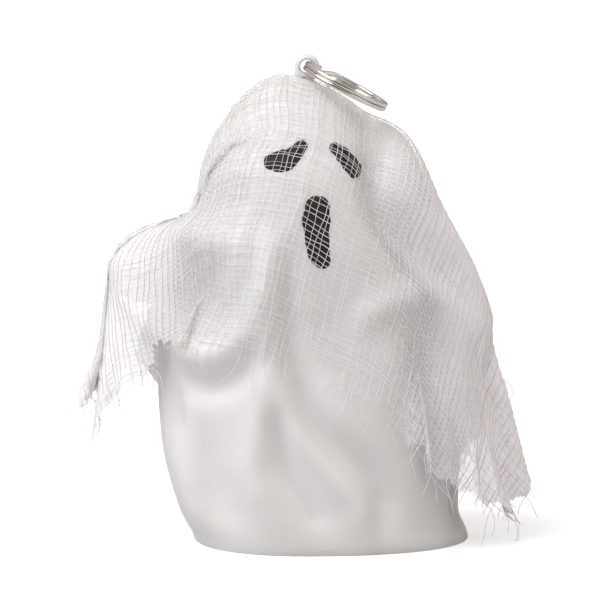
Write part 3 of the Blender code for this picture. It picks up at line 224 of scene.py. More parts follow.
def smooth_between(knots: Sequence[float], values: Array, places: Array) -> Array:
    """Reads a smooth curve through the values at the knots.

    Args:
        knots: Rising places along the curve.
        values: One value, or one row of values, for each knot.
        places: Where the curve is read.

    Returns:
        A row of values for each place.
    """
    knots = np.asarray(knots, float)
    values = np.asarray(values, float).reshape(len(knots), -1)
    slopes = np.gradient(values, knots, axis=0)
    places = np.clip(np.asarray(places, float), knots[0], knots[-1])
    span = np.clip(np.searchsorted(knots, places, side="right") - 1, 0, len(knots) - 2)
    length = (knots[span + 1] - knots[span])[..., None]
    t = (places - knots[span])[..., None] / length
    rest = 1.0 - t
    curve = values[span] * (1.0 + 2.0 * t) * rest**2 + slopes[span] * length * t * rest**2
    return curve + values[span + 1] * t**2 * (3.0 - 2.0 * t) - slopes[span + 1] * length * t**2 * rest


def unit(vectors: Array) -> Array:
    """Scales vectors to a length of one."""
    return vectors / np.maximum(np.linalg.norm(vectors, axis=-1, keepdims=True), 1e-12)


def eased(shares: Array) -> Array:
    """Shares from 0 to 1 that start and end gently."""
    return shares * shares * (3.0 - 2.0 * shares)


def angles_of(points: Array) -> Array:
    """The angle round the ghost of each point, in degrees."""
    return np.degrees(np.arctan2(points[..., 1], points[..., 0]))


def turned_by(angles: Array, start: float) -> Array:
    """The turn from the start angle to each angle, in radians from -pi to pi."""
    return np.radians((angles - start + 180.0) % 360.0 - 180.0)


def grid_skin(places: Array, kept: Array | None = None) -> bmesh.types.BMesh:
    """A sheet of faces laid through a grid of places.

    Args:
        places: An array of (across, along, 3).
        kept: Which places the sheet keeps, or all.

    Returns:
        The sheet, whose neighbours are joined where places meet.
    """
    across, along = places.shape[:2]
    bm = bmesh.new()
    bmesh.ops.create_grid(bm, x_segments=across - 1, y_segments=along - 1, size=0.5)
    spare = []
    for vert in bm.verts:
        i = round((vert.co.x + 0.5) * (across - 1))
        j = round((vert.co.y + 0.5) * (along - 1))
        vert.co = places[i, j]
        if kept is not None and not kept[i, j]:
            spare.append(vert)
    bmesh.ops.delete(bm, geom=spare, context="VERTS")
    bm.normal_update()
    return bm


def closed_skin(places: Array) -> bmesh.types.BMesh:
    """A grid skin whose meeting edges are welded and whose faces point out.

    Args:
        places: An array of (across, along, 3).

    Returns:
        The closed skin.
    """
    bm = grid_skin(places)
    bmesh.ops.remove_doubles(bm, verts=bm.verts, dist=WELD)
    bmesh.ops.dissolve_degenerate(bm, edges=bm.edges, dist=WELD)
    bmesh.ops.recalc_face_normals(bm, faces=bm.faces)
    return bm


def piece_from(bm: bmesh.types.BMesh, name: str, finish: "Finish", crease: float = 50.0) -> bpy.types.Object:
    """Makes a finished piece of a bmesh.

    Args:
        bm: The shape, which is freed.
        name: The piece's name.
        finish: What it is made of.
        crease: Edges sharper than this many degrees stay sharp.

    Returns:
        The piece's object, at the origin.
    """
    mesh = bpy.data.meshes.new(name)
    bm.to_mesh(mesh)
    bm.free()
    mesh.shade_smooth()
    mesh.set_sharp_from_angle(angle=math.radians(crease))
    return placed(mesh, name, finish)


def shown(name: str, data: bpy.types.ID) -> bpy.types.Object:
    """Makes an object of its data, and links it to the scene.

    Args:
        name: The object's name.
        data: Its mesh, curve, light or camera.

    Returns:
        The object.
    """
    obj = bpy.data.objects.new(name, data)
    bpy.context.scene.collection.objects.link(obj)
    return obj


def placed(mesh: bpy.types.Mesh, name: str, finish: "Finish") -> bpy.types.Object:
    """Puts a mesh in the scene as a piece with its finish.

    Args:
        mesh: The piece's mesh.
        name: Its name.
        finish: What it is made of.

    Returns:
        The piece's object.
    """
    mesh.materials.clear()
    mesh.materials.append(finish.material())
    obj = shown(name, mesh)
    return obj


def swept(
    name: str, runs: Iterable[Array], section: Array, finish: "Finish", radii: Sequence[Array] = ()
) -> bpy.types.Object:
    """Sweeps a closed section along open runs of points, and makes the result a mesh piece.

    Args:
        name: The piece's name.
        runs: An array of (points, 3) for each run.
        section: The section's corners, as (points, 2).
        finish: What the piece is made of.
        radii: For each run, the scale of the section at each point.

    Returns:
        The piece's object, at the origin.
    """
    profile = bpy.data.curves.new(f"{name}_section", "CURVE")
    loop = profile.splines.new("POLY")
    loop.points.add(len(section) - 1)
    corners = np.column_stack([section, np.zeros(len(section)), np.ones(len(section))])
    loop.points.foreach_set("co", corners.ravel())
    loop.use_cyclic_u = True
    guide = shown(f"{name}_section", profile)
    curve = bpy.data.curves.new(f"{name}_runs", "CURVE")
    curve.dimensions = "3D"
    curve.bevel_mode = "OBJECT"
    curve.bevel_object = guide
    for k, run in enumerate(runs):
        spline = curve.splines.new("POLY")
        spline.points.add(len(run) - 1)
        spline.points.foreach_set("co", np.column_stack([run, np.ones(len(run))]).ravel())
        if len(radii):
            spline.points.foreach_set("radius", radii[k])
    route = shown(f"{name}_runs", curve)
    graph = bpy.context.evaluated_depsgraph_get()
    mesh = bpy.data.meshes.new_from_object(route.evaluated_get(graph))
    for spare in (route, guide):
        bpy.data.objects.remove(spare, do_unlink=True)
    mesh.name = name
    mesh.shade_smooth()
    return placed(mesh, name, finish)


# Finishes


@dataclass(frozen=True)
class Finish:
    """What a surface is made of. Colours, gloss and grain vary over it at the sizes given here, in metres."""

    MOTTLE_DETAIL = 4.0
    GRAIN_DETAIL = 2.0
    NOISE_LOW = 0.3  # most of the noise lies between these
    NOISE_HIGH = 0.7

    name: str
    slot: str
    colour: Colour
    tint: Colour
    roughness: float
    mottle: float = 0.012
    roughness_spread: float = 0.06
    grain: float = 0.0006
    grain_depth: float = 0.00002
    stretch: Point = (1.0, 1.0, 1.0)
    metallic: float = 0.0
    subsurface: float = 0.0
    scatter: float = 0.003
    sheen: float = 0.0
    coat: float = 0.0
    transmission: float = 0.0
    gloss: float = 0.5
    thin: bool = False

    def material(self) -> bpy.types.Material:
        """The finish's material, which is made once."""
        found = bpy.data.materials.get(self.name)
        return found or self.mixed()

    def mixed(self) -> bpy.types.Material:
        """Builds the material's nodes.

        Returns:
            A material whose colour, roughness and relief are read from noise on Object coordinates.
        """
        material = bpy.data.materials.new(self.name)
        material.use_nodes = True
        tree = material.node_tree
        shader = tree.nodes["Principled BSDF"]
        coords = tree.nodes.new("ShaderNodeTexCoord")
        mapping = tree.nodes.new("ShaderNodeMapping")
        mapping.inputs["Scale"].default_value = self.stretch
        tree.links.new(coords.outputs["Object"], mapping.inputs["Vector"])
        mottle = self.noise(tree, mapping, self.mottle, self.MOTTLE_DETAIL)
        grain = self.noise(tree, mapping, self.grain, self.GRAIN_DETAIL)
        colours = tree.nodes.new("ShaderNodeMix")
        colours.data_type = "RGBA"
        colours.inputs["A"].default_value = (*self.colour, 1.0)
        colours.inputs["B"].default_value = (*self.tint, 1.0)
        tree.links.new(mottle.outputs["Fac"], colours.inputs["Factor"])
        tree.links.new(colours.outputs["Result"], shader.inputs["Base Color"])
        gloss = tree.nodes.new("ShaderNodeMapRange")
        gloss.inputs["From Min"].default_value = self.NOISE_LOW
        gloss.inputs["From Max"].default_value = self.NOISE_HIGH
        gloss.inputs["To Min"].default_value = self.roughness - self.roughness_spread
        gloss.inputs["To Max"].default_value = self.roughness + self.roughness_spread
        tree.links.new(grain.outputs["Fac"], gloss.inputs["Value"])
        tree.links.new(gloss.outputs["Result"], shader.inputs["Roughness"])
        relief = tree.nodes.new("ShaderNodeBump")
        relief.inputs["Strength"].default_value = 1.0
        relief.inputs["Distance"].default_value = self.grain_depth
        tree.links.new(grain.outputs["Fac"], relief.inputs["Height"])
        tree.links.new(relief.outputs["Normal"], shader.inputs["Normal"])
        for name, value in (
            ("Metallic", self.metallic),
            ("Subsurface Weight", self.subsurface),
            ("Subsurface Scale", self.scatter),
            ("Subsurface Radius", (1.0, 0.85, 0.75)),
            ("Sheen Weight", self.sheen),
            ("Coat Weight", self.coat),
            ("Transmission Weight", self.transmission),
            ("Specular IOR Level", self.gloss),
        ):
            shader.inputs[name].default_value = value
        if self.thin:
            self.thin_out(tree)
        material.diffuse_color = (*self.colour, 1.0)
        return material

    @staticmethod
    def thin_out(tree: Tree) -> None:
        """Opens holes between the threads, fewer where the surface's own attribute covers more.

        Args:
            tree: The nodes of the material or the sky.
        """

        def calculated(operation: str, one: Socket, two: Socket | float) -> Socket:
            """What a Math node makes of two values.

            Args:
                operation: What the node works out.
                one: The first value.
                two: The second value.

            Returns:
                The node's result.
            """
            node = tree.nodes.new("ShaderNodeMath")
            node.operation = operation
            tree.links.new(one, node.inputs[0])
            if isinstance(two, float):
                node.inputs[1].default_value = two
            else:
                tree.links.new(two, node.inputs[1])
            return node.outputs["Value"]

        cover = tree.nodes.new("ShaderNodeAttribute")
        cover.attribute_name = COVER_NAME
        cut = tree.nodes.new("ShaderNodeAttribute")
        cut.attribute_name = CUT_NAME
        parts = tree.nodes.new("ShaderNodeSeparateXYZ")
        tree.links.new(cut.outputs["Vector"], parts.inputs["Vector"])
        waves = []
        for axis, spacing in (("X", WARP_SPACING), ("Y", WEFT_SPACING)):
            wave = calculated("SINE", calculated("MULTIPLY", parts.outputs[axis], math.pi / spacing), 0.0)
            waves.append(calculated("MULTIPLY", wave, wave))
        hole = calculated("MULTIPLY", *waves)
        open_share = calculated("ADD", calculated("MULTIPLY", cover.outputs["Fac"], -1.0), 1.0)
        bare = calculated("MULTIPLY", hole, open_share)
        kept = calculated("ADD", calculated("MULTIPLY", bare, -1.0), 1.0)
        alpha = calculated("MULTIPLY", cover.outputs["Fac"], kept)
        tree.links.new(alpha, tree.nodes["Principled BSDF"].inputs["Alpha"])

    def noise(self, tree: Tree, mapping: bpy.types.Node, size: float, detail: float) -> bpy.types.Node:
        """A noise node with features of the given size.

        Args:
            tree: The nodes of the material or the sky.
            mapping: The node that gives the place.
            size: The size of its features, in metres.
            detail: How much finer detail it has.

        Returns:
            The noise node.
        """
        noise = tree.nodes.new("ShaderNodeTexNoise")
        noise.inputs["Scale"].default_value = 1.0 / size
        noise.inputs["Detail"].default_value = detail
        tree.links.new(mapping.outputs["Vector"], noise.inputs["Vector"])
        return noise


MOULDED = Finish(
    "moulded_white_soft", "moulded_white", (0.80, 0.78, 0.765), (0.765, 0.74, 0.72),
    0.40, 0.020, 0.05, 0.0009, 0.00002,
    subsurface=0.40, scatter=0.004, coat=0.05,
)
INK = Finish(
    "face_print_ink", "face_print", (0.020, 0.013, 0.010), (0.045, 0.030, 0.024),
    0.62, 0.004, 0.10, 0.0005, 0.00003,
    gloss=0.2,
)
CHROME = Finish(
    "ring_plating", "ring_chrome", (0.80, 0.78, 0.75), (0.72, 0.69, 0.64),
    0.11, 0.004, 0.02, 0.0006, 0.0000004,
    metallic=1.0,
)
YARN = Finish(
    "gauze_yarn", "white_gauze", (0.96, 0.96, 0.96), (0.90, 0.89, 0.89),
    0.80, 0.006, 0.08, 0.00015, 0.00003,
    subsurface=0.6, scatter=0.0012, sheen=0.25,
)
LINT = Finish(
    "gauze_lint", "white_gauze", (0.97, 0.94, 0.943), (0.92, 0.88, 0.885),
    0.90, 0.004, 0.05, 0.0006, 0.00005,
    gloss=0.2, thin=True,
)
HOUSING = Finish(
    "base_plastic_fine", "base_plastic", (0.82, 0.82, 0.83), (0.77, 0.77, 0.78),
    0.46, 0.015, 0.06, 0.0004, 0.00003,
    subsurface=0.08, scatter=0.001,
)
COVER = Finish(
    "cover_plastic_gloss", "cover_plastic", (0.88, 0.88, 0.88), (0.84, 0.84, 0.84),
    0.40, 0.012, 0.05, 0.0005, 0.00002,
)
SCREW = Finish(
    "screw_plated", "screw_steel", (0.62, 0.63, 0.65), (0.52, 0.53, 0.54),
    0.30, 0.002, 0.09, 0.0002, 0.00001,
    metallic=1.0,
)
CELL = Finish(
    "cell_can", "cell_steel", (0.74, 0.74, 0.72), (0.66, 0.66, 0.64),
    0.24, 0.003, 0.06, 0.0002, 0.000004,
    stretch=(1.0, 8.0, 8.0), metallic=1.0,
)
NICKEL = Finish(
    "contact_sheet", "contact_nickel", (0.72, 0.69, 0.62), (0.62, 0.59, 0.52),
    0.30, 0.002, 0.08, 0.0002, 0.000006,
    metallic=1.0,
)
SWITCH_CASE = Finish(
    "switch_can", "switch_case", (0.60, 0.61, 0.62), (0.50, 0.51, 0.52),
    0.34, 0.002, 0.08, 0.0002, 0.000008,
    metallic=1.0,
)
KNOB = Finish(
    "switch_knob_black", "switch_knob", (0.025, 0.025, 0.027), (0.045, 0.045, 0.047),
    0.48, 0.002, 0.08, 0.0002, 0.00002,
)
BOARD = Finish(
    "board_mask", "board_green", (0.03, 0.17, 0.07), (0.05, 0.24, 0.11),
    0.32, 0.004, 0.06, 0.0006, 0.00002, coat=0.3
)
LENS = Finish(
    "lamp_epoxy", "lamp_lens", (0.97, 0.96, 0.90), (0.95, 0.93, 0.86),
    0.06, 0.002, 0.02, 0.001, 0.000003,
    transmission=0.9,
)
RESISTOR = Finish(
    "resistor_enamel", "resistor_beige", (0.72, 0.60, 0.42), (0.64, 0.52, 0.35),
    0.40, 0.001, 0.06, 0.0003, 0.00001,
)
RED_WIRE = Finish(
    "insulation_red", "red_insulation", (0.52, 0.025, 0.02), (0.44, 0.02, 0.02),
    0.45, 0.002, 0.06, 0.0003, 0.00001,
)
BLACK_WIRE = Finish(
    "insulation_black", "black_insulation", (0.018, 0.018, 0.02), (0.03, 0.03, 0.03),
    0.45, 0.002, 0.06, 0.0003, 0.00001,
)


# The moulded body


@dataclass(frozen=True)
class BodyForm:
    """The body's outer surface, by the angle round it and the depth below its crown."""

    height: float = 0.1242
    squareness: float = 2.25
    lean_share: float = 0.26
    lean_fade_share: float = 0.045
    hem_fade: float = 0.009
    hem_fold_share: float = 0.25
    fold_end_share: float = 0.35
    fold_samples: int = 8
    normal_step: float = 0.002
    normal_turn: float = 1.0
    crown_share: float = 0.3
    halvings: int = 30
    front_tries: int = 10

    def plain(self, angles: Array, depths: Array) -> Array:
        """The body without its folds, at angles in degrees and depth shares.

        Args:
            angles: Angles round the ghost, in degrees.
            depths: Depths as shares of the height.

        Returns:
            A point for each angle and depth.
        """
        table = np.array(PROFILE_SHARES)
        reaches = smooth_between(np.sqrt(table[:, 0]), table[:, 1:], np.sqrt(depths)) * self.height
        turn = np.radians(angles)
        across = np.maximum(np.where(np.cos(turn) > 0.0, reaches[..., 1], reaches[..., 0]), WELD)
        along = np.maximum(np.where(np.sin(turn) < 0.0, reaches[..., 2], reaches[..., 3]), WELD)
        sides = np.abs(np.cos(turn) / across) ** self.squareness
        inverse = sides + np.abs(np.sin(turn) / along) ** self.squareness
        radius = inverse ** (-1.0 / self.squareness)
        x, y = radius * np.cos(turn), radius * np.sin(turn)
        lean = self.lean_share * x * np.exp(-((depths / self.lean_fade_share) ** 2))
        return np.stack([x, y, self.height * (1.0 - depths) - lean], axis=-1)

    def normals(self, angles: Array, depths: Array) -> Array:
        """The plain body's outward normals.

        Args:
            angles: Angles round the ghost, in degrees.
            depths: Depths as shares of the height.

        Returns:
            A normal for each angle and depth.
        """
        step, turn = self.normal_step, self.normal_turn
        high, low = np.maximum(depths - step, 0.0), np.minimum(depths + step, 1.0)
        down = self.plain(angles, low) - self.plain(angles, high)
        return unit(np.cross(down, self.plain(angles + turn, depths) - self.plain(angles - turn, depths)))

    def fold_rise(self, angles: Array, depths: Array) -> Array:
        """How far the folds stand out of the plain body.

        Args:
            angles: Angles round the ghost, in degrees.
            depths: Depths as shares of the height.

        Returns:
            Distances in metres.
        """
        heights = 1.0 - depths
        plain = self.plain(angles, depths)
        radius = np.hypot(plain[..., 0], plain[..., 1])
        rise = np.zeros_like(radius)
        for fold in FOLDS:
            width = fold.width_share * self.height
            path = np.array(fold.path_shares, float)
            path[:, 0] = np.degrees(np.unwrap(np.radians(path[:, 0])))
            steps = np.linspace(0.0, len(path) - 1.0, self.fold_samples * len(path))
            route = smooth_between(range(len(path)), path, steps)
            ends = np.minimum(1.0, self.fold_end_share + np.minimum(steps, len(path) - 1.0 - steps))
            reach = np.zeros_like(radius)
            for (angle, height), end in zip(route, ends):
                aside = turned_by(angles, angle) * radius / width
                above = (heights - height) * self.height / width
                np.maximum(reach, end * np.exp(-(aside**2 + above**2)), out=reach)
            rise += fold.rise_share * self.height * reach
        fade = np.clip(heights * self.height / self.hem_fade, 0.0, 1.0)
        return rise * (self.hem_fold_share + (1.0 - self.hem_fold_share) * fade)

    def surface(self, angles: Array, depths: Array, lift: Array | float = 0.0) -> Array:
        """Points of the folded body, lifted off it along its normals."""
        rise = self.fold_rise(angles, depths) + lift
        return self.plain(angles, depths) + self.normals(angles, depths) * rise[..., None]

    def depth_at_radius(self, angles: Array, radius: float) -> Array:
        """The depth at which the crown is as wide as the radius.

        Args:
            angles: Angles round the ghost, in degrees.
            radius: A distance from the axis.

        Returns:
            A depth share for each angle.
        """
        high, low = np.zeros_like(angles), np.full_like(angles, self.crown_share)
        for _ in range(self.halvings):
            middle = (high + low) / 2
            plain = self.plain(angles, middle)
            inside = np.hypot(plain[..., 0], plain[..., 1]) < radius
            high, low = np.where(inside, middle, high), np.where(inside, low, middle)
        return (high + low) / 2

    def on_front(self, xs: Array, heights: Array, lift: Array | float) -> Array:
        """Points of the body's front at these X and heights.

        Args:
            xs: Places across the front.
            heights: Heights over the base.
            lift: How far the points stand off the body.

        Returns:
            The points.
        """
        angles, depths = np.full_like(xs, -90.0), 1.0 - heights / self.height
        for _ in range(self.front_tries):
            points = self.surface(angles, depths, lift)
            angles = angles + np.degrees((xs - points[..., 0]) / np.hypot(points[..., 0], points[..., 1]))
            depths = depths + (points[..., 2] - heights) / self.height
        return self.surface(angles, depths, lift)


@dataclass
class MouldedBody:
    """The hollow moulded shell, its printed face and the lug at its crown."""

    form: BodyForm = field(default_factory=BodyForm)
    wall: float = 0.0022
    rim_wall: float = 0.0026
    seat_depth: float = 0.0033
    seat_ledge: float = 0.0011
    lining_start: float = 0.011
    stem_radius: float = 0.0017
    columns: int = 300
    rows: int = 150
    lining_rows: int = 36
    crowding: float = 1.25
    crown_drop_share: float = 1.35

    def build(self) -> bpy.types.Object:
        """Makes the shell: its skin, flat rim, seat for the base and lining, round the crown's hole.

        Returns:
            The shell.
        """
        angles = np.linspace(-180.0, 180.0, self.columns + 1)
        start = self.form.depth_at_radius(angles, self.stem_radius + GAP)
        rings = []
        for t in np.linspace(0.0, 1.0, self.rows) ** self.crowding:
            rings.append(self.form.surface(angles, start + (1.0 - start) * t))
        rings += self.seat(angles)
        last = 1.0 - self.lining_start / self.form.height
        inner = self.form.depth_at_radius(angles, self.stem_radius + self.wall)
        for t in np.linspace(1.0, 0.0, self.lining_rows) ** self.crowding:
            rings.append(self.form.surface(angles, inner + (last - inner) * t, -self.wall))
        rings.append(rings[0] - np.array([0.0, 0.0, self.crown_drop_share * self.wall]))
        rings.append(rings[0])
        places = np.stack(rings, axis=1)
        places[-1] = places[0]
        shell = piece_from(closed_skin(places), "ghost_body", MOULDED, crease=60.0)
        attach(shell, GHOST)
        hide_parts("ghost_shell")
        return shell

    def seat(self, angles: Array) -> list[Array]:
        """The rings of the recess that holds the base housing.

        Args:
            angles: Angles round the ghost, in degrees.

        Returns:
            The rings, from the rim inwards.
        """
        foot = self.form.plain(angles, np.ones_like(angles))
        radius = np.hypot(foot[:, 0], foot[:, 1])
        rings = []
        for inset, height in (
            (self.rim_wall, 0.0),
            (self.rim_wall, self.seat_depth),
            (self.rim_wall + self.seat_ledge, self.seat_depth),
        ):
            ring = foot * ((radius - inset) / radius)[:, None]
            ring[:, 2] = height
            rings.append(ring)
        return rings


@dataclass
class FacePrint:
    """The printed eyes and mouth: thin films with soft rims, laid on the body."""

    form: BodyForm
    thickness: float = 0.00035
    sunk: float = 0.00010
    across: int = 20
    along: int = 56
    rim_power: float = 6.0
    wobble: float = 0.00012
    wobble_turns: float = 17.0
    wobble_start: float = 2.0

    def build(self) -> list[bpy.types.Object]:
        """Makes every film and lets it stand for its node.

        Returns:
            The films.
        """
        made = []
        for number, film in enumerate(FILMS):
            piece = piece_from(self.skin(film, number), f"{film.name}_print", INK, crease=80.0)
            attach(piece, GHOST)
            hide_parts(film.name)
            made.append(piece)
        return made

    def skin(self, film: "Film", number: int) -> bmesh.types.BMesh:
        """A film's closed skin.

        Args:
            film: Its stations.
            number: Which film it is, which sets the wobble of its edge.

        Returns:
            A flat bean with round ends, that follows the body.
        """
        stations = np.array(film.station_shares) * self.form.height
        spread = np.linspace(-1.0, 1.0, self.along)
        reach = len(stations) - 1.0
        steps = (spread + 1.0) / 2 * reach
        spine = smooth_between(range(len(stations)), stations, steps)
        heading = unit(np.gradient(spine[:, :2], axis=0))
        aside = np.stack([-heading[:, 1], heading[:, 0]], axis=1)
        first, last = spine[0, 2], spine[-1, 2]
        length = np.concatenate([[0.0], np.cumsum(np.linalg.norm(np.diff(spine[:, :2], axis=0), axis=1))])
        total = length[-1]
        along = -first + (total + first + last) * (1.0 - np.cos(np.linspace(0.0, math.pi, self.along))) / 2
        inside = np.clip(along, 0.0, total)
        past = np.where(along < 0.0, -along / first, np.where(along > total, (along - total) / last, 0.0))
        half = np.interp(inside, length, spine[:, 2]) * np.sqrt(np.maximum(1.0 - past**2, 0.0))
        centre = np.stack([np.interp(inside, length, spine[:, k]) for k in (0, 1)], axis=1)
        ahead = np.stack([np.interp(inside, length, heading[:, k]) for k in (0, 1)], axis=1)
        centre += ahead * (along - inside)[:, None]
        side = unit(np.stack([np.interp(inside, length, aside[:, k]) for k in (0, 1)], axis=1))
        waves = np.sin(along / total * self.wobble_turns + number * self.wobble_start)
        half = half * (1.0 + self.wobble / half.max() * waves)
        shares = np.sin(np.linspace(-math.pi / 2, math.pi / 2, self.across))
        flat = centre[None] + side[None] * half[None, :, None] * shares[:, None, None]
        edge = np.maximum(np.abs(shares)[:, None], past[None])
        rise = (1.0 - edge**self.rim_power) * (self.thickness + self.sunk) - self.sunk
        over = self.form.on_front(flat[..., 0], flat[..., 1], rise)
        under = self.form.on_front(flat[..., 0], flat[..., 1], -self.sunk)
        return closed_skin(np.concatenate([over, under[::-1]], axis=0))


@dataclass
class HangingLug:
    """The rounded eye at the crown, with its barbed stem."""

    width: float = 0.0066
    thickness: float = 0.0038
    rounding: float = 0.0015
    eye_radius: float = 0.0019
    eye_height: float = 0.1276
    foot_height: float = 0.1240
    stem_radius: float = 0.0017
    barb_radius: float = 0.0029
    barb_height: float = 0.0018
    eye_rim: float = 0.0005
    stations: int = 96
    arc_steps: int = 7
    foot_power: float = 6.0
    stem_overlap: float = 0.0007

    def build(self) -> bpy.types.Object:
        """Makes the lug and lets it stand for its node.

        Returns:
            The lug.
        """
        turns = np.linspace(0.0, math.tau, self.stations + 1)
        bm = closed_skin(np.stack([self.section(turn) for turn in turns]))
        self.add_stem(bm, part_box("hanging_lug")[0][2])
        lug = piece_from(bm, "lug_moulded", MOULDED, crease=60.0)
        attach(lug, GHOST)
        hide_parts("hanging_lug")
        return lug

    def reach(self, turn: float) -> float:
        """How far the lug reaches from its eye's centre: round above, and square to its foot below.

        Args:
            turn: The angle round the eye.

        Returns:
            A distance in metres.
        """
        half = self.width / 2
        if math.sin(turn) >= 0.0:
            return half
        drop = self.eye_height - self.foot_height
        side = abs(math.cos(turn) / half) ** self.foot_power
        inverse = side + abs(math.sin(turn) / drop) ** self.foot_power
        return inverse ** (-1.0 / self.foot_power)

    def section(self, turn: float) -> Array:
        """The lug's section on one side of its eye, from the eye's wall round over its rims and back.

        Args:
            turn: The angle round the eye.

        Returns:
            The section's points.
        """
        arc = np.linspace(0.0, math.pi / 2, self.arc_steps)
        half, outer = self.thickness / 2, self.reach(turn)
        inner, rim, rounding = self.eye_radius, self.eye_rim, self.rounding
        near = [(inner + rim * (1.0 - math.cos(a)), half - rim * (1.0 - math.sin(a))) for a in arc]
        near += [(outer - rounding * (1.0 - math.sin(a)), half - rounding * (1.0 - math.cos(a))) for a in arc]
        loop = near + [(radius, -height) for radius, height in reversed(near)]
        loop.append(loop[0])
        way = np.array([math.cos(turn), 0.0, math.sin(turn)])
        centre = np.array([0.0, 0.0, self.eye_height])
        return np.array([centre + way * radius + np.array([0.0, height, 0.0]) for radius, height in loop])

    def add_stem(self, bm: bmesh.types.BMesh, bottom: float) -> None:
        """Spins the barbed stem, which reaches a little into the lug's foot.

        Args:
            bm: The bmesh that is added to.
            bottom: The height of the stem's end.
        """
        barb = bottom + self.barb_height
        profile = (
            (0.0, self.foot_height + self.stem_overlap),
            (self.stem_radius, self.foot_height + self.stem_overlap),
            (self.stem_radius, barb),
            (self.barb_radius, barb),
            (self.stem_radius, bottom),
            (0.0, bottom),
        )
        spun(bm, profile, self.stations // 2)


def spun(bm: bmesh.types.BMesh, profile: Sequence[tuple[float, float]], segments: int) -> None:
    """Adds a solid turned about the Z axis, from (radius, height) pairs.

    Args:
        bm: The bmesh that is added to.
        profile: Pairs of radius and height.
        segments: How many steps a full turn has.
    """
    verts = [bm.verts.new((radius, 0.0, height)) for radius, height in profile]
    edges = [bm.edges.new(pair) for pair in zip(verts, verts[1:])]
    geom, axis = verts + edges, (0.0, 0.0, 1.0)
    bmesh.ops.spin(bm, geom=geom, axis=axis, angle=math.tau, steps=segments, use_merge=True)
    bmesh.ops.remove_doubles(bm, verts=bm.verts, dist=WELD)
    bmesh.ops.recalc_face_normals(bm, faces=bm.faces)


@dataclass
class SplitRing:
    """The split ring: two turns of flat wire that step past each other, leaning on the right of the head."""

    radius: float = 0.0125
    wire_width: float = 0.0016
    wire_height: float = 0.0012
    corner: float = 0.00042
    lean: float = 27.8
    pivot_height: float = 0.1276
    step_angle: float = 62.0
    step_half: float = 13.0
    end_gap: float = 3.0
    points_a_turn: int = 110
    section_points: int = 16

    def build(self) -> bpy.types.Object:
        """Makes the ring, which lies where its node does.

        Returns:
            The ring.
        """
        section = []
        half_width, half_height = self.wire_width / 2 - self.corner, self.wire_height / 2 - self.corner
        for k in range(self.section_points):
            turn = (k + 0.5) * math.tau / self.section_points
            x, y = math.cos(turn), math.sin(turn)
            wide, high = math.copysign(half_width, x), math.copysign(half_height, y)
            section.append((wide + self.corner * x, high + self.corner * y))
        ring = swept("split_ring_wire", [self.route()], np.array(section), CHROME)
        bm = bmesh.new()
        bm.from_mesh(ring.data)
        ends = [edge for edge in bm.edges if edge.is_boundary]
        bmesh.ops.edgeloop_fill(bm, edges=ends)
        bmesh.ops.recalc_face_normals(bm, faces=bm.faces)
        bmesh.ops.rotate(bm, verts=bm.verts, matrix=Matrix.Rotation(math.radians(self.lean), 3, "Y"))
        bmesh.ops.translate(bm, verts=bm.verts, vec=(0.0, 0.0, self.pivot_height))
        bm.to_mesh(ring.data)
        bm.free()
        ring.data.shade_smooth()
        ring.data.set_sharp_from_angle(angle=math.radians(50.0))
        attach(ring, RING)
        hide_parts("split_ring")
        return ring

    def route(self) -> Array:
        """The wire's middle line: round once below, a step up past its own start, and round once above.

        Returns:
            The line's points.
        """
        first = self.step_angle + self.step_half + self.end_gap
        last = self.step_angle + 720.0 - self.step_half - self.end_gap
        turns = np.linspace(first, last, int(self.points_a_turn * (last - first) / 360.0))
        rise = np.clip((turns - self.step_angle - 360.0 + self.step_half) / (2.0 * self.step_half), 0.0, 1.0)
        height = (eased(rise) - 0.5) * (self.wire_height + WELD)
        middle = self.radius - self.wire_width / 2
        angle = np.radians(turns)
        return np.stack([middle - middle * np.cos(angle), middle * np.sin(angle), height], axis=1)


# The gauze


@dataclass(frozen=True)
class StandOff:
    """A place where the gauze hangs clear of the body, and keeps clear below it."""

    angle: float
    depth_share: float
    clear_share: float
    along_share: float
    fall_share: float


STAND_OFFS = (
    StandOff(-180.0, 0.435, 0.112, 0.115, 0.070),
    StandOff(152.0, 0.74, 0.050, 0.16, 0.14),
    StandOff(-6.0, 0.45, 0.036, 0.26, 0.20),
    StandOff(0.0, 0.85, 0.062, 0.20, 0.14),
    StandOff(38.0, 0.84, 0.030, 0.16, 0.12),
)


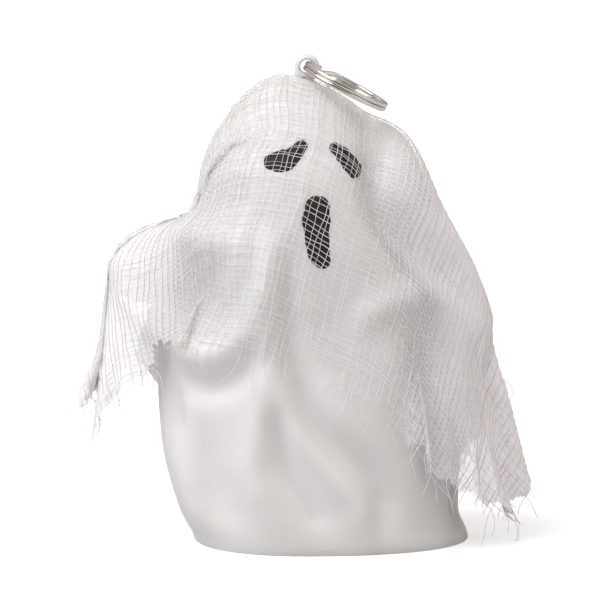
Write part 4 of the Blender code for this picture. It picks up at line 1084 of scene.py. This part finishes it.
class Support:
    """What the gauze falls on: the folded body and the stand-offs, felt from a centre inside them."""

    COLUMNS = 241
    ROWS = 130
    CROWDING = 1.3
    FALLS = 181  # directions from straight up to straight down, a degree apart
    TURNS = 360

    def __init__(self, form: BodyForm) -> None:
        """Builds the support's rows and feels it in every direction.

        Args:
            form: The body under the gauze.
        """
        self.centre = np.array([0.0, 0.0, form.height / 2])
        self.angles = np.linspace(-180.0, 180.0, self.COLUMNS)
        angles, depths = np.meshgrid(self.angles, np.linspace(0.0, 1.0, self.ROWS) ** self.CROWDING)
        self.rows = form.surface(angles, depths, self.clearance(form, angles, depths))
        self.rows[0] = self.rows[0].mean(axis=0)
        below = self.rows[-1:] - np.array([0.0, 0.0, form.height / 2])
        self.rows = np.concatenate([self.rows, below])
        steps = np.linalg.norm(np.diff(self.rows, axis=0), axis=2)
        self.arc = np.vstack([np.zeros(len(self.angles)), np.cumsum(steps, axis=0)])
        self.reach, self.out = self.felt()

    @staticmethod
    def clearance(form: BodyForm, angles: Array, depths: Array) -> Array:
        """How far the stand-offs hold the gauze from the body.

        Args:
            form: The body.
            angles: Angles round the ghost, in degrees.
            depths: Depths as shares of the height.

        Returns:
            Distances in metres.
        """
        plain = form.plain(angles, depths)
        radius = np.maximum(np.hypot(plain[..., 0], plain[..., 1]), form.hem_fade)
        clear = np.zeros_like(radius)
        for spot in STAND_OFFS:
            aside = turned_by(angles, spot.angle) * radius / (spot.along_share * form.height)
            above = np.minimum((depths - spot.depth_share) / spot.fall_share, 0.0)
            clear += spot.clear_share * form.height * np.exp(-(aside**2 + above**2))
        return clear

    def felt(self) -> tuple[Array, Array]:
        """The support's distance and outward normal, a degree apart.

        Returns:
            Both tables, by degrees down from the top and round.
        """
        bm = grid_skin(self.rows.transpose(1, 0, 2))
        tree = BVHTree.FromBMesh(bm)
        bm.free()
        reach = np.zeros((self.FALLS, self.TURNS))
        out = np.zeros((self.FALLS, self.TURNS, 3))
        centre = Vector(self.centre)
        for i in range(self.FALLS):
            fall = math.radians(i)
            for j in range(self.TURNS):
                turn = math.radians(j - self.TURNS // 2)
                flat = math.sin(fall)
                way = Vector((flat * math.cos(turn), flat * math.sin(turn), math.cos(fall)))
                _, normal, _, far = tree.ray_cast(centre, way)
                if normal:
                    reach[i, j] = far
                    out[i, j] = normal * math.copysign(1.0, normal.dot(way))
        return reach, out

    def depth_under(self, points: Array, skin: float) -> tuple[Array, Array]:
        """How deep points lie under a skin on the support.

        Args:
            points: The places asked about.
            skin: Height of the skin over the support.

        Returns:
            Depths, which are negative outside, and the outward normals.
        """
        rel = points - self.centre
        far = np.linalg.norm(rel, axis=1)
        fall = np.degrees(np.arccos(np.clip(rel[:, 2] / far, -1.0, 1.0)))
        turn = np.degrees(np.arctan2(rel[:, 1], rel[:, 0])) + 180.0
        i, j = np.minimum(fall.astype(int), self.FALLS - 2), turn.astype(int) % self.TURNS
        a, b = (fall - i)[:, None], (turn - np.floor(turn))[:, None]
        after = (j + 1) % self.TURNS
        table = np.concatenate([self.reach[..., None], self.out], axis=2)
        mixed = table[i, j] * (1 - a) * (1 - b) + table[i + 1, j] * a * (1 - b)
        mixed += table[i, after] * (1 - a) * b + table[i + 1, after] * a * b
        out = unit(mixed[:, 1:])
        depth = (mixed[:, 0] + skin - far) * np.einsum("ij,ij->i", rel / far[:, None], out)
        return np.where(mixed[:, 0] > 0.0, depth, -1.0), out


@dataclass
class GauzeCut:
    """How the gauze was cut: its reaches from the lug's hole, and the grid that stands for it as it falls."""

    left: float = 0.088
    right: float = 0.114
    front: float = 0.104
    back: float = 0.098
    pitch: float = 0.0020
    hole: float = 0.0036

    def lines(self) -> tuple[Array, Array]:
        """The grid's places across and along the cut.

        Returns:
            Both sets of places.
        """
        across = np.arange(-round(self.left / self.pitch), round(self.right / self.pitch) + 1) * self.pitch
        along = np.arange(-round(self.front / self.pitch), round(self.back / self.pitch) + 1) * self.pitch
        return across, along


@dataclass
class Drape:
    """Lets the gauze fall over the body, by moving a grid of points that keep their distances."""

    cut: GauzeCut
    support: Support
    form: BodyForm
    allowance: float = 0.014
    skin: float = 0.00055
    steps: int = 320
    passes: int = 4
    fall: float = 0.000012
    keep: float = 0.985
    fastest: float = 0.0006
    grip: float = 0.6
    flute: float = 0.0075
    cling: float = 0.25
    cling_reach: float = 0.004
    cling_foot: float = 0.045
    floor: float = 0.0008
    cling_fade: float = 0.02
    quick_steps: int = 40
    held_pitches: float = 1.2
    gather_start: float = 0.006
    gather_reach: float = 0.055
    shortening: float = 0.97
    flutes_round: float = 15.0
    flute_least: float = 0.0012
    flute_full: float = 0.1
    flute_power: float = 1.5
    start_lift: float = 0.0008
    jitter: float = 0.0001
    seed: int = 7

    def run(self) -> "DrapedGauze":
        """Lets the gauze fall.

        Returns:
            The gauze at rest.
        """
        across, along = self.cut.lines()
        us, vs = np.meshgrid(across, along, indexing="ij")
        reach = np.hypot(us, vs)
        points = self.gathered(us, vs, reach).reshape(-1, 3)
        spare = points[:, 2] - Trim.hem_height(points, self.form) + self.allowance
        live = (reach >= self.cut.hole).ravel() & (spare > 0.0)
        free = np.where((reach < self.cut.hole + self.held_pitches * self.cut.pitch).ravel(), 0.0, 1.0)
        springs = self.springs(us.shape, live, free)
        before = points.copy()
        for _ in range(self.steps):
            pace = (points - before) * self.keep
            speed = np.linalg.norm(pace, axis=1, keepdims=True)
            pace *= np.minimum(1.0, self.fastest / np.maximum(speed, WELD**2))
            before = points.copy()
            points = points + (pace - np.array([0.0, 0.0, self.fall])) * free[:, None]
            for _ in range(self.passes):
                for one, two, rest, pull, push, give_one, give_two in springs:
                    gap = points[two] - points[one]
                    length = np.sqrt(np.einsum("ij,ij->i", gap, gap)) + WELD**2
                    strain = (length - rest) / length
                    gap *= (np.where(strain > 0.0, pull, push) * strain)[:, None]
                    points[one] += gap * give_one
                    points[two] -= gap * give_two
            points = self.rested(points, before, free)
        return DrapedGauze(points.reshape(*us.shape, 3), across, along, live.reshape(us.shape))

    def rested(self, points: Array, before: Array, free: Array) -> Array:
        """Pushes points out of the support and holds back those that slide on it.

        Args:
            points: The points asked about.
            before: Where the points were.
            free: Zero for the points that the lug holds.

        Returns:
            The points, pushed out and held.
        """
        depth, out = self.support.depth_under(points, self.skin)
        high = np.clip((points[:, 2] - self.cling_foot) / self.cling_fade, 0.0, 1.0)
        near = np.clip(1.0 + depth / self.cling_reach, 0.0, 1.0) * high
        pressed = np.maximum(depth, 0.0) + self.cling * near * np.maximum(-depth, 0.0)
        points = points + out * (np.where(depth > 0.0, pressed, -pressed) * free)[:, None]
        slide = points - before
        slide -= out * np.einsum("ij,ij->i", slide, out)[:, None]
        held = np.minimum(1.0, self.grip * pressed / np.maximum(np.linalg.norm(slide, axis=1), WELD**2))
        points = points - slide * (held * free)[:, None]
        points[:, 2] = np.maximum(points[:, 2], self.floor)
        return points

    def gathered(self, us: Array, vs: Array, reach: Array) -> Array:
        """Where each point starts: laid round the body as GATHERS says, and fluted where that crowds it.

        Args:
            us: Places across the cut.
            vs: Places along it.
            reach: Distances from the lug's hole.

        Returns:
            The points, as an array like us with three numbers each.
        """
        cut_angle = np.degrees(np.arctan2(vs, us))
        cut_angle = np.where(cut_angle < GATHERS[0][0], cut_angle + 360.0, cut_angle)
        table = np.array(GATHERS)
        late = eased(np.clip((reach - self.gather_start) / self.gather_reach, 0.0, 1.0))
        angle = cut_angle + (np.interp(cut_angle, table[:, 0], table[:, 1]) - cut_angle) * late
        column = ((angle + 180.0) % 360.0) / 360.0 * (len(self.support.angles) - 1)
        left = np.minimum(column.astype(int), len(self.support.angles) - 2)
        share = column - left
        points = np.zeros((*us.shape, 3))
        for i, j in np.ndindex(us.shape):
            k, s = left[i, j], share[i, j]
            arc = self.support.arc[:, k] * (1 - s) + self.support.arc[:, k + 1] * s
            line = self.support.rows[:, k] * (1 - s) + self.support.rows[:, k + 1] * s
            points[i, j] = [np.interp(self.shortening * reach[i, j], arc, line[:, axis]) for axis in range(3)]
        out = unit(points * np.array([1.0, 1.0, 0.0]))
        crowding = np.interp(cut_angle, table[:, 0], table[:, 2])
        waves = 0.5 + 0.5 * np.cos(self.flutes_round * np.radians(cut_angle))
        flutes = crowding * self.flute * (reach / self.flute_full) ** self.flute_power * waves
        flutes = self.flute_least + flutes
        jitter = np.random.default_rng(self.seed).normal(0.0, self.jitter, points.shape)
        return points + out * flutes[..., None] + jitter + np.array([0.0, 0.0, self.start_lift])

    def springs(self, shape: tuple[int, int], live: Array, free: Array) -> list[tuple]:
        """The distances that the gauze keeps, in groups that share no point.

        Args:
            shape: The grid's shape.
            live: Which points are gauze, not hole.
            free: Zero for the points that the lug holds.

        Returns:
            For each group its two ends, rest length, pull, push and how far each end gives.
        """
        index = np.arange(shape[0] * shape[1]).reshape(shape)
        rows, columns = np.indices(shape)
        pairs = []
        for k, pull, push in STRETCHES:
            rest = k * self.cut.pitch
            pairs.append((index[:-k], index[k:], rest, pull, push, rows[:-k] // k % 2))
            pairs.append((index[:, :-k], index[:, k:], rest, pull, push, columns[:, :-k] // k % 2))
        slant = math.sqrt(2.0) * self.cut.pitch
        pairs.append((index[:-1, :-1], index[1:, 1:], slant, *SLANT_GIVE, rows[:-1, :-1] % 2))
        pairs.append((index[1:, :-1], index[:-1, 1:], slant, *SLANT_GIVE, rows[1:, :-1] % 2))
        groups = []
        for one, two, rest, pull, push, colour in pairs:
            for shade in (0, 1):
                fits = live[one] & live[two] & (colour == shade) & (free[one] + free[two] > 0.0)
                a, b = one[fits], two[fits]
                total = free[a] + free[b]
                gives = (free[a] / total)[:, None], (free[b] / total)[:, None]
                groups.append((a, b, rest, pull, push, *gives))
        return groups


class DrapedGauze:
    """The gauze at rest, as a smooth surface over its cut."""

    def __init__(self, points: Array, across: Array, along: Array, live: Array) -> None:
        """Keeps the grid, its lines across and along the cut, and which of its points are gauze."""
        self.points, self.across, self.along, self.live = points, across, along, live
        self.pitch = across[1] - across[0]

    def cell(self, us: Array, vs: Array) -> tuple[Array, Array, Array, Array]:
        """Which of the grid's cells each place lies in.

        Args:
            us: Places across the cut.
            vs: Places along the cut.

        Returns:
            Each place counted in grid steps both ways, and its cell's first column and row.
        """
        column, row = (us - self.across[0]) / self.pitch, (vs - self.along[0]) / self.pitch
        i = np.clip(column.astype(int), 0, len(self.across) - 2)
        j = np.clip(row.astype(int), 0, len(self.along) - 2)
        return column, row, i, j

    def at(self, us: Array, vs: Array) -> Array:
        """Points of the surface over places of the cut, by a smooth curve through the grid both ways.

        Args:
            us: Places across the cut.
            vs: Places along the cut.

        Returns:
            A point for each place.
        """
        column, row, i, j = self.cell(us, vs)
        total = np.zeros((len(us), 3))
        for m, side in enumerate(self.weights(column - i)):
            for n, up in enumerate(self.weights(row - j)):
                near = np.clip(i + m - 1, 0, len(self.across) - 1), np.clip(j + n - 1, 0, len(self.along) - 1)
                total += self.points[near] * (side * up)[:, None]
        return total

    def live_at(self, us: Array, vs: Array) -> Array:
        """Whether the grid's four corners round each place are gauze.

        Args:
            us: Places across the cut.
            vs: Places along the cut.

        Returns:
            True or false for each place.
        """
        _, _, i, j = self.cell(us, vs)
        return self.live[i, j] & self.live[i + 1, j] & self.live[i, j + 1] & self.live[i + 1, j + 1]

    @staticmethod
    def weights(t: Array) -> tuple[Array, Array, Array, Array]:
        """How much four neighbours in a row count between the middle two.

        Args:
            t: Shares of the way between the middle two.

        Returns:
            Four weights.
        """
        return (
            ((2.0 - t) * t - 1.0) * t / 2,
            ((3.0 * t - 5.0) * t * t + 2.0) / 2,
            ((4.0 - 3.0 * t) * t + 1.0) * t / 2,
            (t - 1.0) * t * t / 2,
        )

    def normals_at(self, us: Array, vs: Array) -> Array:
        """The surface's outward normals.

        Args:
            us: Places across the cut.
            vs: Places along the cut.

        Returns:
            A normal for each place.
        """
        step = self.pitch / 2
        side = self.at(us + step, vs) - self.at(us - step, vs)
        return unit(np.cross(side, self.at(us, vs + step) - self.at(us, vs - step)))


class Trim:
    """Where the fallen gauze was cut off: at the hem's height at each angle, along a ragged line."""

    TOOTH_ANGLE = 4.3
    TOOTH_DEPTH = 0.0018
    TOOTH_SPREAD = 0.0012
    TOOTH_SWAY = 0.35
    SWAYS_ROUND = 7.0
    SWELLS_ROUND = 11.0

    def __init__(self, gauze: DrapedGauze, cut: GauzeCut, form: BodyForm, step: float = 0.0008) -> None:
        """Finds what the scissors left.

        Args:
            gauze: The fallen gauze.
            cut: How it was cut before it fell.
            form: The body, whose height scales the hem.
            step: How finely the gauze is tested.
        """
        self.step, self.start = step, (-cut.left, -cut.front)
        us = np.arange(-cut.left, cut.right + step / 2, step)
        vs = np.arange(-cut.front, cut.back + step / 2, step)
        self.us, self.vs = np.meshgrid(us, vs, indexing="ij")
        self.points = gauze.at(self.us.ravel(), self.vs.ravel()).reshape(*self.us.shape, 3)
        self.above = self.points[..., 2] - self.hem_height(self.points, form) - self.teeth(self.points)
        self.above = np.where(gauze.live_at(self.us, self.vs), self.above, -1.0)
        outside = np.hypot(self.us, self.vs) > cut.hole
        self.kept = self.joined((self.above > 0.0) & outside, round(-us[0] / step))

    @staticmethod
    def hem_height(points: Array, form: BodyForm) -> Array:
        """The height of the hem at the angle of each point.

        Args:
            points: The points asked about.
            form: The body.

        Returns:
            A height for each point.
        """
        table = np.array(HEM_SHARES + ((HEM_SHARES[0][0] + 360.0, HEM_SHARES[0][1]),))
        angles = (angles_of(points) + 180.0) % 360.0 - 180.0
        return form.height * (1.0 - np.interp(angles, table[:, 0], table[:, 1]))

    @staticmethod
    def teeth(points: Array) -> Array:
        """How far the hem is torn up between its tufts, at the angle of each point.

        Args:
            points: The points asked about.

        Returns:
            A height for each point.
        """
        angles = angles_of(points)
        turns = angles / Trim.TOOTH_ANGLE + Trim.TOOTH_SWAY * np.sin(np.radians(angles * Trim.SWAYS_ROUND))
        waves = np.abs(turns % 1.0 * 2.0 - 1.0)
        swell = np.sin(np.radians(angles * Trim.SWELLS_ROUND))
        return waves * (Trim.TOOTH_DEPTH + Trim.TOOTH_SPREAD * swell)

    @staticmethod
    def joined(kept: Array, column: int) -> Array:
        """Drops scraps: leaves only what is joined to the gauze behind the hole.

        Args:
            kept: Which places are above the hem.
            column: The row of places behind the hole.

        Returns:
            Which places are left.
        """
        whole = np.zeros_like(kept)
        rows = np.flatnonzero(kept[column])
        whole[column, rows[len(rows) // 2]] = True
        while True:
            wider = Trim.widened(whole) & kept
            if wider.sum() == whole.sum():
                return whole
            whole = wider

    @staticmethod
    def widened(mask: Array) -> Array:
        """The mask and the places beside it.

        Args:
            mask: True at the places that it holds.

        Returns:
            The wider mask.
        """
        wider = mask.copy()
        wider[1:] |= mask[:-1]
        wider[:-1] |= mask[1:]
        wider[:, 1:] |= mask[:, :-1]
        wider[:, :-1] |= mask[:, 1:]
        return wider

    def spared(self, us: Array, vs: Array, slack: float) -> Array:
        """Whether a thread cut with this slack is left at the given places.

        Args:
            us: Places across the cut.
            vs: Places along the cut.
            slack: How far above the hem the thread was cut.

        Returns:
            True or false for each place.
        """
        i = np.clip(np.round((us - self.start[0]) / self.step).astype(int), 0, self.kept.shape[0] - 1)
        j = np.clip(np.round((vs - self.start[1]) / self.step).astype(int), 0, self.kept.shape[1] - 1)
        near = self.kept
        for _ in range(3):
            near = self.widened(near)
        return near[i, j] & (self.above[i, j] > slack)


@dataclass
class Lint:
    """The fine fibres between the threads, as one see-through sheet."""

    name: str = "gauze_cloth"
    start_share: float = 0.06
    end_share: float = 0.32

    def build(self, trim: Trim, form: BodyForm) -> tuple[bpy.types.Object, float]:
        """Makes the sheet.

        Args:
            trim: The trimmed gauze.
            form: The body, whose height scales the veil.

        Returns:
            The sheet, and its area before it was hung.
        """
        bm = grid_skin(trim.points, trim.kept)
        area = len(bm.faces) * trim.step**2
        sheet = piece_from(bm, self.name, LINT, crease=180.0)
        covers = sheet.data.attributes.new(COVER_NAME, "FLOAT", "POINT")
        covers.data.foreach_set("value", self.cover(self.in_order(trim.points, trim), form))
        cuts = sheet.data.attributes.new(CUT_NAME, "FLOAT_VECTOR", "POINT")
        places = np.stack([trim.us, trim.vs, np.zeros_like(trim.us)], axis=-1)
        cuts.data.foreach_set("vector", self.in_order(places, trim).ravel())
        return sheet, area

    @staticmethod
    def in_order(values: Array, trim: Trim) -> Array:
        """The values of the places that are kept, in the order of the sheet's points."""
        return np.swapaxes(values, 0, 1)[trim.kept.T]

    def cover(self, points: Array, form: BodyForm) -> Array:
        """How much the layers of gauze hide at each point: little in front, most where they crowd.

        Args:
            points: The points asked about.
            form: The body.

        Returns:
            A share for each point.
        """
        table = np.array(LAYERS)
        angles = angles_of(points)
        depths = 1.0 - points[:, 2] / form.height
        down = np.clip((depths - self.start_share) / (self.end_share - self.start_share), 0.0, 1.0)
        return np.interp(angles, table[:, 0], table[:, 1]) * down * down * (3.0 - 2.0 * down)


class Lay(Enum):
    """Which way a thread runs in the gauze."""

    WARP = "warp"
    WEFT = "weft"


@dataclass
class Threads:
    """One set of the gauze's threads, unevenly spaced and never quite straight."""

    WANDERS = ((0.045, 1.0), (0.016, 0.6), (0.006, 0.35))  # a wave's length along the thread, and its share

    lay: Lay
    spacing: float
    spread: float
    radius: float
    lift: float
    seed: int
    step: float = 0.0015
    sway: float = 0.00028
    fray: float = 0.0022
    unevenness: float = 0.14
    swell: float = 0.12
    thinnest: float = 0.6
    thickest: float = 1.7
    fewest_points: int = 4

    def runs(self, gauze: DrapedGauze, cut: GauzeCut, trim: Trim) -> tuple[list[Array], list[Array]]:
        """Lays the threads and cuts them at the hem and the hole.

        Args:
            gauze: The fallen gauze.
            cut: How it was cut.
            trim: Where it was cut off.

        Returns:
            The runs' points, and the thickness at each point.
        """
        rng = np.random.default_rng(self.seed)
        low, high = (-cut.left, cut.right) if self.lay is Lay.WARP else (-cut.front, cut.back)
        start, end = (-cut.front, cut.back) if self.lay is Lay.WARP else (-cut.left, cut.right)
        runs, radii = [], []
        place = low
        while place < high:
            along = np.arange(start, end + self.step / 2, self.step)
            across = np.clip(place + self.swayed(rng, along), low, high)
            us, vs = (across, along) if self.lay is Lay.WARP else (along, across)
            points = gauze.at(us, vs) + gauze.normals_at(us, vs) * self.lift
            kept = (np.hypot(us, vs) > cut.hole) & trim.spared(us, vs, rng.normal(0.0, self.fray))
            thick = rng.normal(1.0, self.unevenness)
            thick = thick + self.swayed(rng, along) / self.sway * self.swell
            thick = np.clip(thick, self.thinnest, self.thickest)
            for piece in np.split(np.arange(len(along)), np.flatnonzero(np.diff(kept.astype(int))) + 1):
                if kept[piece[0]] and len(piece) >= self.fewest_points:
                    runs.append(points[piece])
                    radii.append(thick[piece])
            place += self.spacing * np.exp(rng.normal(0.0, self.spread))
        return runs, radii

    def swayed(self, rng: np.random.Generator, along: Array) -> Array:
        """A slow random wander along a thread.

        Args:
            rng: Where the random numbers come from.
            along: Places along the thread.

        Returns:
            A distance for each place.
        """
        total = np.zeros_like(along)
        for size, share in self.WANDERS:
            waves = along * math.tau / size * rng.uniform(0.8, 1.25)
            total += share * np.sin(waves + rng.uniform(0.0, math.tau))
        return total * self.sway


@dataclass
class Fringe:
    """Loose ends that curl away from the frayed hem."""

    share: float = 0.55
    shortest: float = 0.0020
    longest: float = 0.0120
    step: float = 0.0007
    stiffness: float = 0.84
    droop: float = 0.16
    curl: float = 0.22
    length_power: float = 2.5
    bend_kept: float = 0.82
    bend_fresh: float = 0.45
    bend_pull: float = 3.0
    skin: float = 0.0004
    floor: float = 0.0006
    seed: int = 31

    def runs(self, ends: list[tuple[Array, Array]], support: Support) -> list[Array]:
        """Grows the loose ends.

        Args:
            ends: For each cut thread its last point and its heading there.
            support: What the ends may not sink into.

        Returns:
            The runs' points.
        """
        rng = np.random.default_rng(self.seed)
        runs = []
        for place, heading in ends:
            if rng.random() > self.share:
                continue
            length = self.shortest + (self.longest - self.shortest) * rng.random() ** self.length_power
            point, way, bend = place.copy(), heading.copy(), rng.normal(0.0, self.curl, 3)
            run = [point]
            for _ in range(max(3, int(length / self.step))):
                bend = self.bend_kept * bend + rng.normal(0.0, self.bend_fresh * self.curl, 3)
                turned = self.stiffness * way + (1.0 - self.stiffness) * bend * self.bend_pull
                way = unit(turned - np.array([0.0, 0.0, self.droop]))
                point = point + way * self.step
                depth, out = support.depth_under(point[None], self.skin)
                point = point + out[0] * max(depth[0], 0.0)
                point[2] = max(point[2], self.floor)
                run.append(point)
            runs.append(np.array(run))
        return runs


@dataclass
class Gauze:
    """The gauze over the ghost: its lint, its two sets of threads and its fringe."""

    form: BodyForm
    cut: GauzeCut = field(default_factory=GauzeCut)
    warps: Threads = field(
        default_factory=lambda: Threads(
            Lay.WARP, WARP_SPACING, spread=0.22, radius=0.00011, lift=0.00010, seed=5
        )
    )
    wefts: Threads = field(
        default_factory=lambda: Threads(
            Lay.WEFT, WEFT_SPACING, spread=0.20, radius=0.00010, lift=-0.00004, seed=9
        )
    )
    fringe: Fringe = field(default_factory=Fringe)
    fringe_below: float = 0.7
    fringe_thickness: float = 0.9

    def build(self, body: bpy.types.Object) -> list[bpy.types.Object]:
        """Args:
            body: The moulded body that it rests on. It is not used.

        Returns:
            The gauze's pieces.
        """
        support = Support(self.form)
        gauze = Drape(self.cut, support, self.form).run()
        LOG.info("gauze at rest, from %s to %s", *self.reaches(gauze))
        trim = Trim(gauze, self.cut, self.form)
        lint, area = Lint().build(trim, self.form)
        corners = (0.5, 0.5 + math.tau / 3, 0.5 + 2 * math.tau / 3)
        triangle = np.array([(math.cos(a), math.sin(a)) for a in corners])
        ends: list[tuple[Array, Array]] = []
        made = [lint]
        for threads in (self.wefts, self.warps):
            runs, radii = threads.runs(gauze, self.cut, trim)
            made.append(swept(f"gauze_{threads.lay.value}s", runs, triangle * threads.radius, YARN, radii))
            for run in runs:
                ends.append((run[0], unit(run[0] - run[2])))
                ends.append((run[-1], unit(run[-1] - run[-3])))
        top = self.fringe_below * self.form.height
        ends = [(place, heading) for place, heading in ends if place[2] < top]
        loose = self.fringe.runs(ends, support)
        section = triangle * self.wefts.radius * self.fringe_thickness
        made.append(swept("gauze_fringe", loose, section, YARN))
        for piece in made:
            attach(piece, GHOST)
        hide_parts("gauze_drape")
        return made

    def reaches(self, gauze: DrapedGauze) -> tuple[list[float], list[float]]:
        """The gauze's lowest and highest corner, in millimetres."""
        points = gauze.points[gauze.live] * 1000.0
        return points.min(axis=0).round(1).tolist(), points.max(axis=0).round(1).tolist()


# The base and the lamp


class BaseDress:
    """Gives the base's and the lamp's CAD pieces their finishes."""

    FINISHES = {
        "base_housing": HOUSING,
        "battery_door": HOUSING,
        "door_screw": SCREW,
        "cover_screw_front": SCREW,
        "cover_screw_back": SCREW,
        "battery_cell_1": CELL,
        "battery_cell_2": CELL,
        "battery_cell_3": CELL,
        "contact_plate": NICKEL,
        "contact_spring": NICKEL,
        "switch_body": SWITCH_CASE,
        "switch_slider": KNOB,
        "circuit_board": BOARD,
        "led_bulb": LENS,
        "resistor": RESISTOR,
        "wire_red": RED_WIRE,
        "wire_black": BLACK_WIRE,
        "module_cover": COVER,
    }

    def dress(self) -> None:
        """Puts each finish on its node."""
        for name, finish in self.FINISHES.items():
            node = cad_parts[name]
            node.data.materials.clear()
            node.data.materials.append(finish.material())


# The studio


@dataclass
class Studio:
    """The camera, the pale floor and the soft light."""

    distance: float = 1.8
    elevation: float = 7.0
    aim: Point = (-0.0003, 0.0, 0.0626)
    pixel: float = 0.00027
    pixels: float = 612.0
    floor_reach: float = 6.0
    floor_drop: float = 0.00005
    floor_look: float = 0.55
    floor_colour: Colour = (0.58, 0.585, 0.59)
    shade: Colour = (0.375, 0.325, 0.298)
    sky_top: Colour = (0.66, 0.625, 0.60)
    sky_look: float = 1.05
    sky_top_from: float = 0.7
    dim_share: float = 0.4
    dim_span: tuple[float, float] = (-0.95, -0.60)

    def build(self) -> None:
        """Makes everything that isn't the object."""
        self.camera()
        self.floor()
        self.sky()
        self.sun("key_light", (-0.54, -0.40, 0.86), spread=50.0, power=2.40, colour=(0.94, 0.975, 1.0))
        self.sun("fill_light", (0.85, -0.45, 0.22), spread=60.0, power=0.42, colour=(1.0, 0.94, 0.92))
        bpy.context.scene.view_settings.view_transform = "Standard"

    def camera(self) -> None:
        """Points a long lens at the ghost, at the photograph's height and scale."""
        rise = math.radians(self.elevation)
        way = Vector((0.0, -math.cos(rise), math.sin(rise)))
        lens = bpy.data.cameras.new("camera")
        lens.sensor_width = 36.0
        lens.lens = lens.sensor_width * self.distance / (self.pixel * self.pixels)
        lens.clip_start = 0.01
        camera = shown("camera", lens)
        camera.location = Vector(self.aim) + way * self.distance
        camera.rotation_euler = (-way).to_track_quat("-Z", "Y").to_euler()
        bpy.context.scene.camera = camera

    def floor(self) -> None:
        """Lays the floor just under the base."""
        bm = bmesh.new()
        bmesh.ops.create_grid(bm, x_segments=2, y_segments=2, size=self.floor_reach)
        bmesh.ops.translate(bm, verts=bm.verts, vec=(0.0, 0.0, -self.floor_drop))
        mesh = bpy.data.meshes.new("floor")
        bm.to_mesh(mesh)
        bm.free()
        material = bpy.data.materials.new("floor_paint")
        material.use_nodes = True
        shader = material.node_tree.nodes["Principled BSDF"]
        shader.inputs["Base Color"].default_value = (*self.floor_colour, 1.0)
        shader.inputs["Roughness"].default_value = 0.8
        shader.inputs["Emission Color"].default_value = (self.floor_look,) * 3 + (1.0,)
        seen = material.node_tree.nodes.new("ShaderNodeLightPath")
        material.node_tree.links.new(seen.outputs["Is Camera Ray"], shader.inputs["Emission Strength"])
        mesh.materials.append(material)
        floor = shown("floor", mesh)

    def sky(self) -> None:
        """Fills the scene with soft light from above, over a backdrop that looks plain white."""
        world = bpy.data.worlds.new("sky")
        world.use_nodes = True
        tree = world.node_tree
        backdrop = tree.nodes["Background"]
        coords = tree.nodes.new("ShaderNodeTexCoord")
        parts = tree.nodes.new("ShaderNodeSeparateXYZ")
        tree.links.new(coords.outputs["Generated"], parts.inputs["Vector"])
        above = self.ramp(tree, parts.outputs["Z"], 0.0, self.sky_top_from)
        light = self.blend(tree, above, self.shade, self.sky_top)
        ahead = self.ramp(tree, parts.outputs["Y"], *self.dim_span)
        light = self.blend(tree, ahead, tuple(self.dim_share * part for part in self.shade), light)
        seen = tree.nodes.new("ShaderNodeLightPath").outputs["Is Camera Ray"]
        light = self.blend(tree, seen, light, (self.sky_look,) * 3)
        tree.links.new(light, backdrop.inputs["Color"])
        bpy.context.scene.world = world

    @staticmethod
    def ramp(tree: Tree, value: Socket, low: float, high: float) -> Socket:
        """A smooth step of a value from zero at low to one at high.

        Args:
            tree: The nodes of the material or the sky.
            value: The socket that is read.
            low: Where the step begins.
            high: Where it ends.

        Returns:
            The step's result.
        """
        step = tree.nodes.new("ShaderNodeMapRange")
        step.interpolation_type = "SMOOTHSTEP"
        step.inputs["From Min"].default_value = low
        step.inputs["From Max"].default_value = high
        tree.links.new(value, step.inputs["Value"])
        return step.outputs["Result"]

    @staticmethod
    def blend(tree: Tree, share: Socket, one: Socket | Colour, two: Socket | Colour) -> Socket:
        """Mixes two colours, each of them fixed or from a socket.

        Args:
            tree: The nodes of the material or the sky.
            share: How much of the second colour there is.
            one: The colour, or its socket, at a share of 0.
            two: The same at a share of 1.

        Returns:
            The mixed colour.
        """
        mix = tree.nodes.new("ShaderNodeMix")
        mix.data_type = "RGBA"
        tree.links.new(share, mix.inputs["Factor"])
        for name, colour in (("A", one), ("B", two)):
            if isinstance(colour, tuple):
                mix.inputs[name].default_value = (*colour, 1.0)
            else:
                tree.links.new(colour, mix.inputs[name])
        return mix.outputs["Result"]

    def sun(self, name: str, place: Point, spread: float, power: float, colour: Colour) -> None:
        """Adds a broad, even light from far away on the side of a place.

        Args:
            name: Its name.
            place: The side that it shines from.
            spread: How wide it looks, in degrees.
            power: Its strength.
            colour: Its colour.
        """
        light = bpy.data.lights.new(name, "SUN")
        light.angle = math.radians(spread)
        light.energy = power
        light.color = colour
        obj = shown(name, light)
        obj.rotation_euler = (-Vector(place)).to_track_quat("-Z", "Y").to_euler()


def main() -> None:
    """Builds the ghost piece by piece and reports each one."""
    logging.basicConfig(level=logging.INFO, format="%(message)s")
    form = BodyForm()
    Studio().build()
    body = MouldedBody(form).build()
    made = [body, *FacePrint(form).build(), HangingLug().build(), SplitRing().build()]
    made += Gauze(form).build(body)
    BaseDress().dress()
    for piece in made:
        LOG.info("%s: %d faces", piece.name, len(piece.data.polygons))


if __name__ == "__main__":
    main()
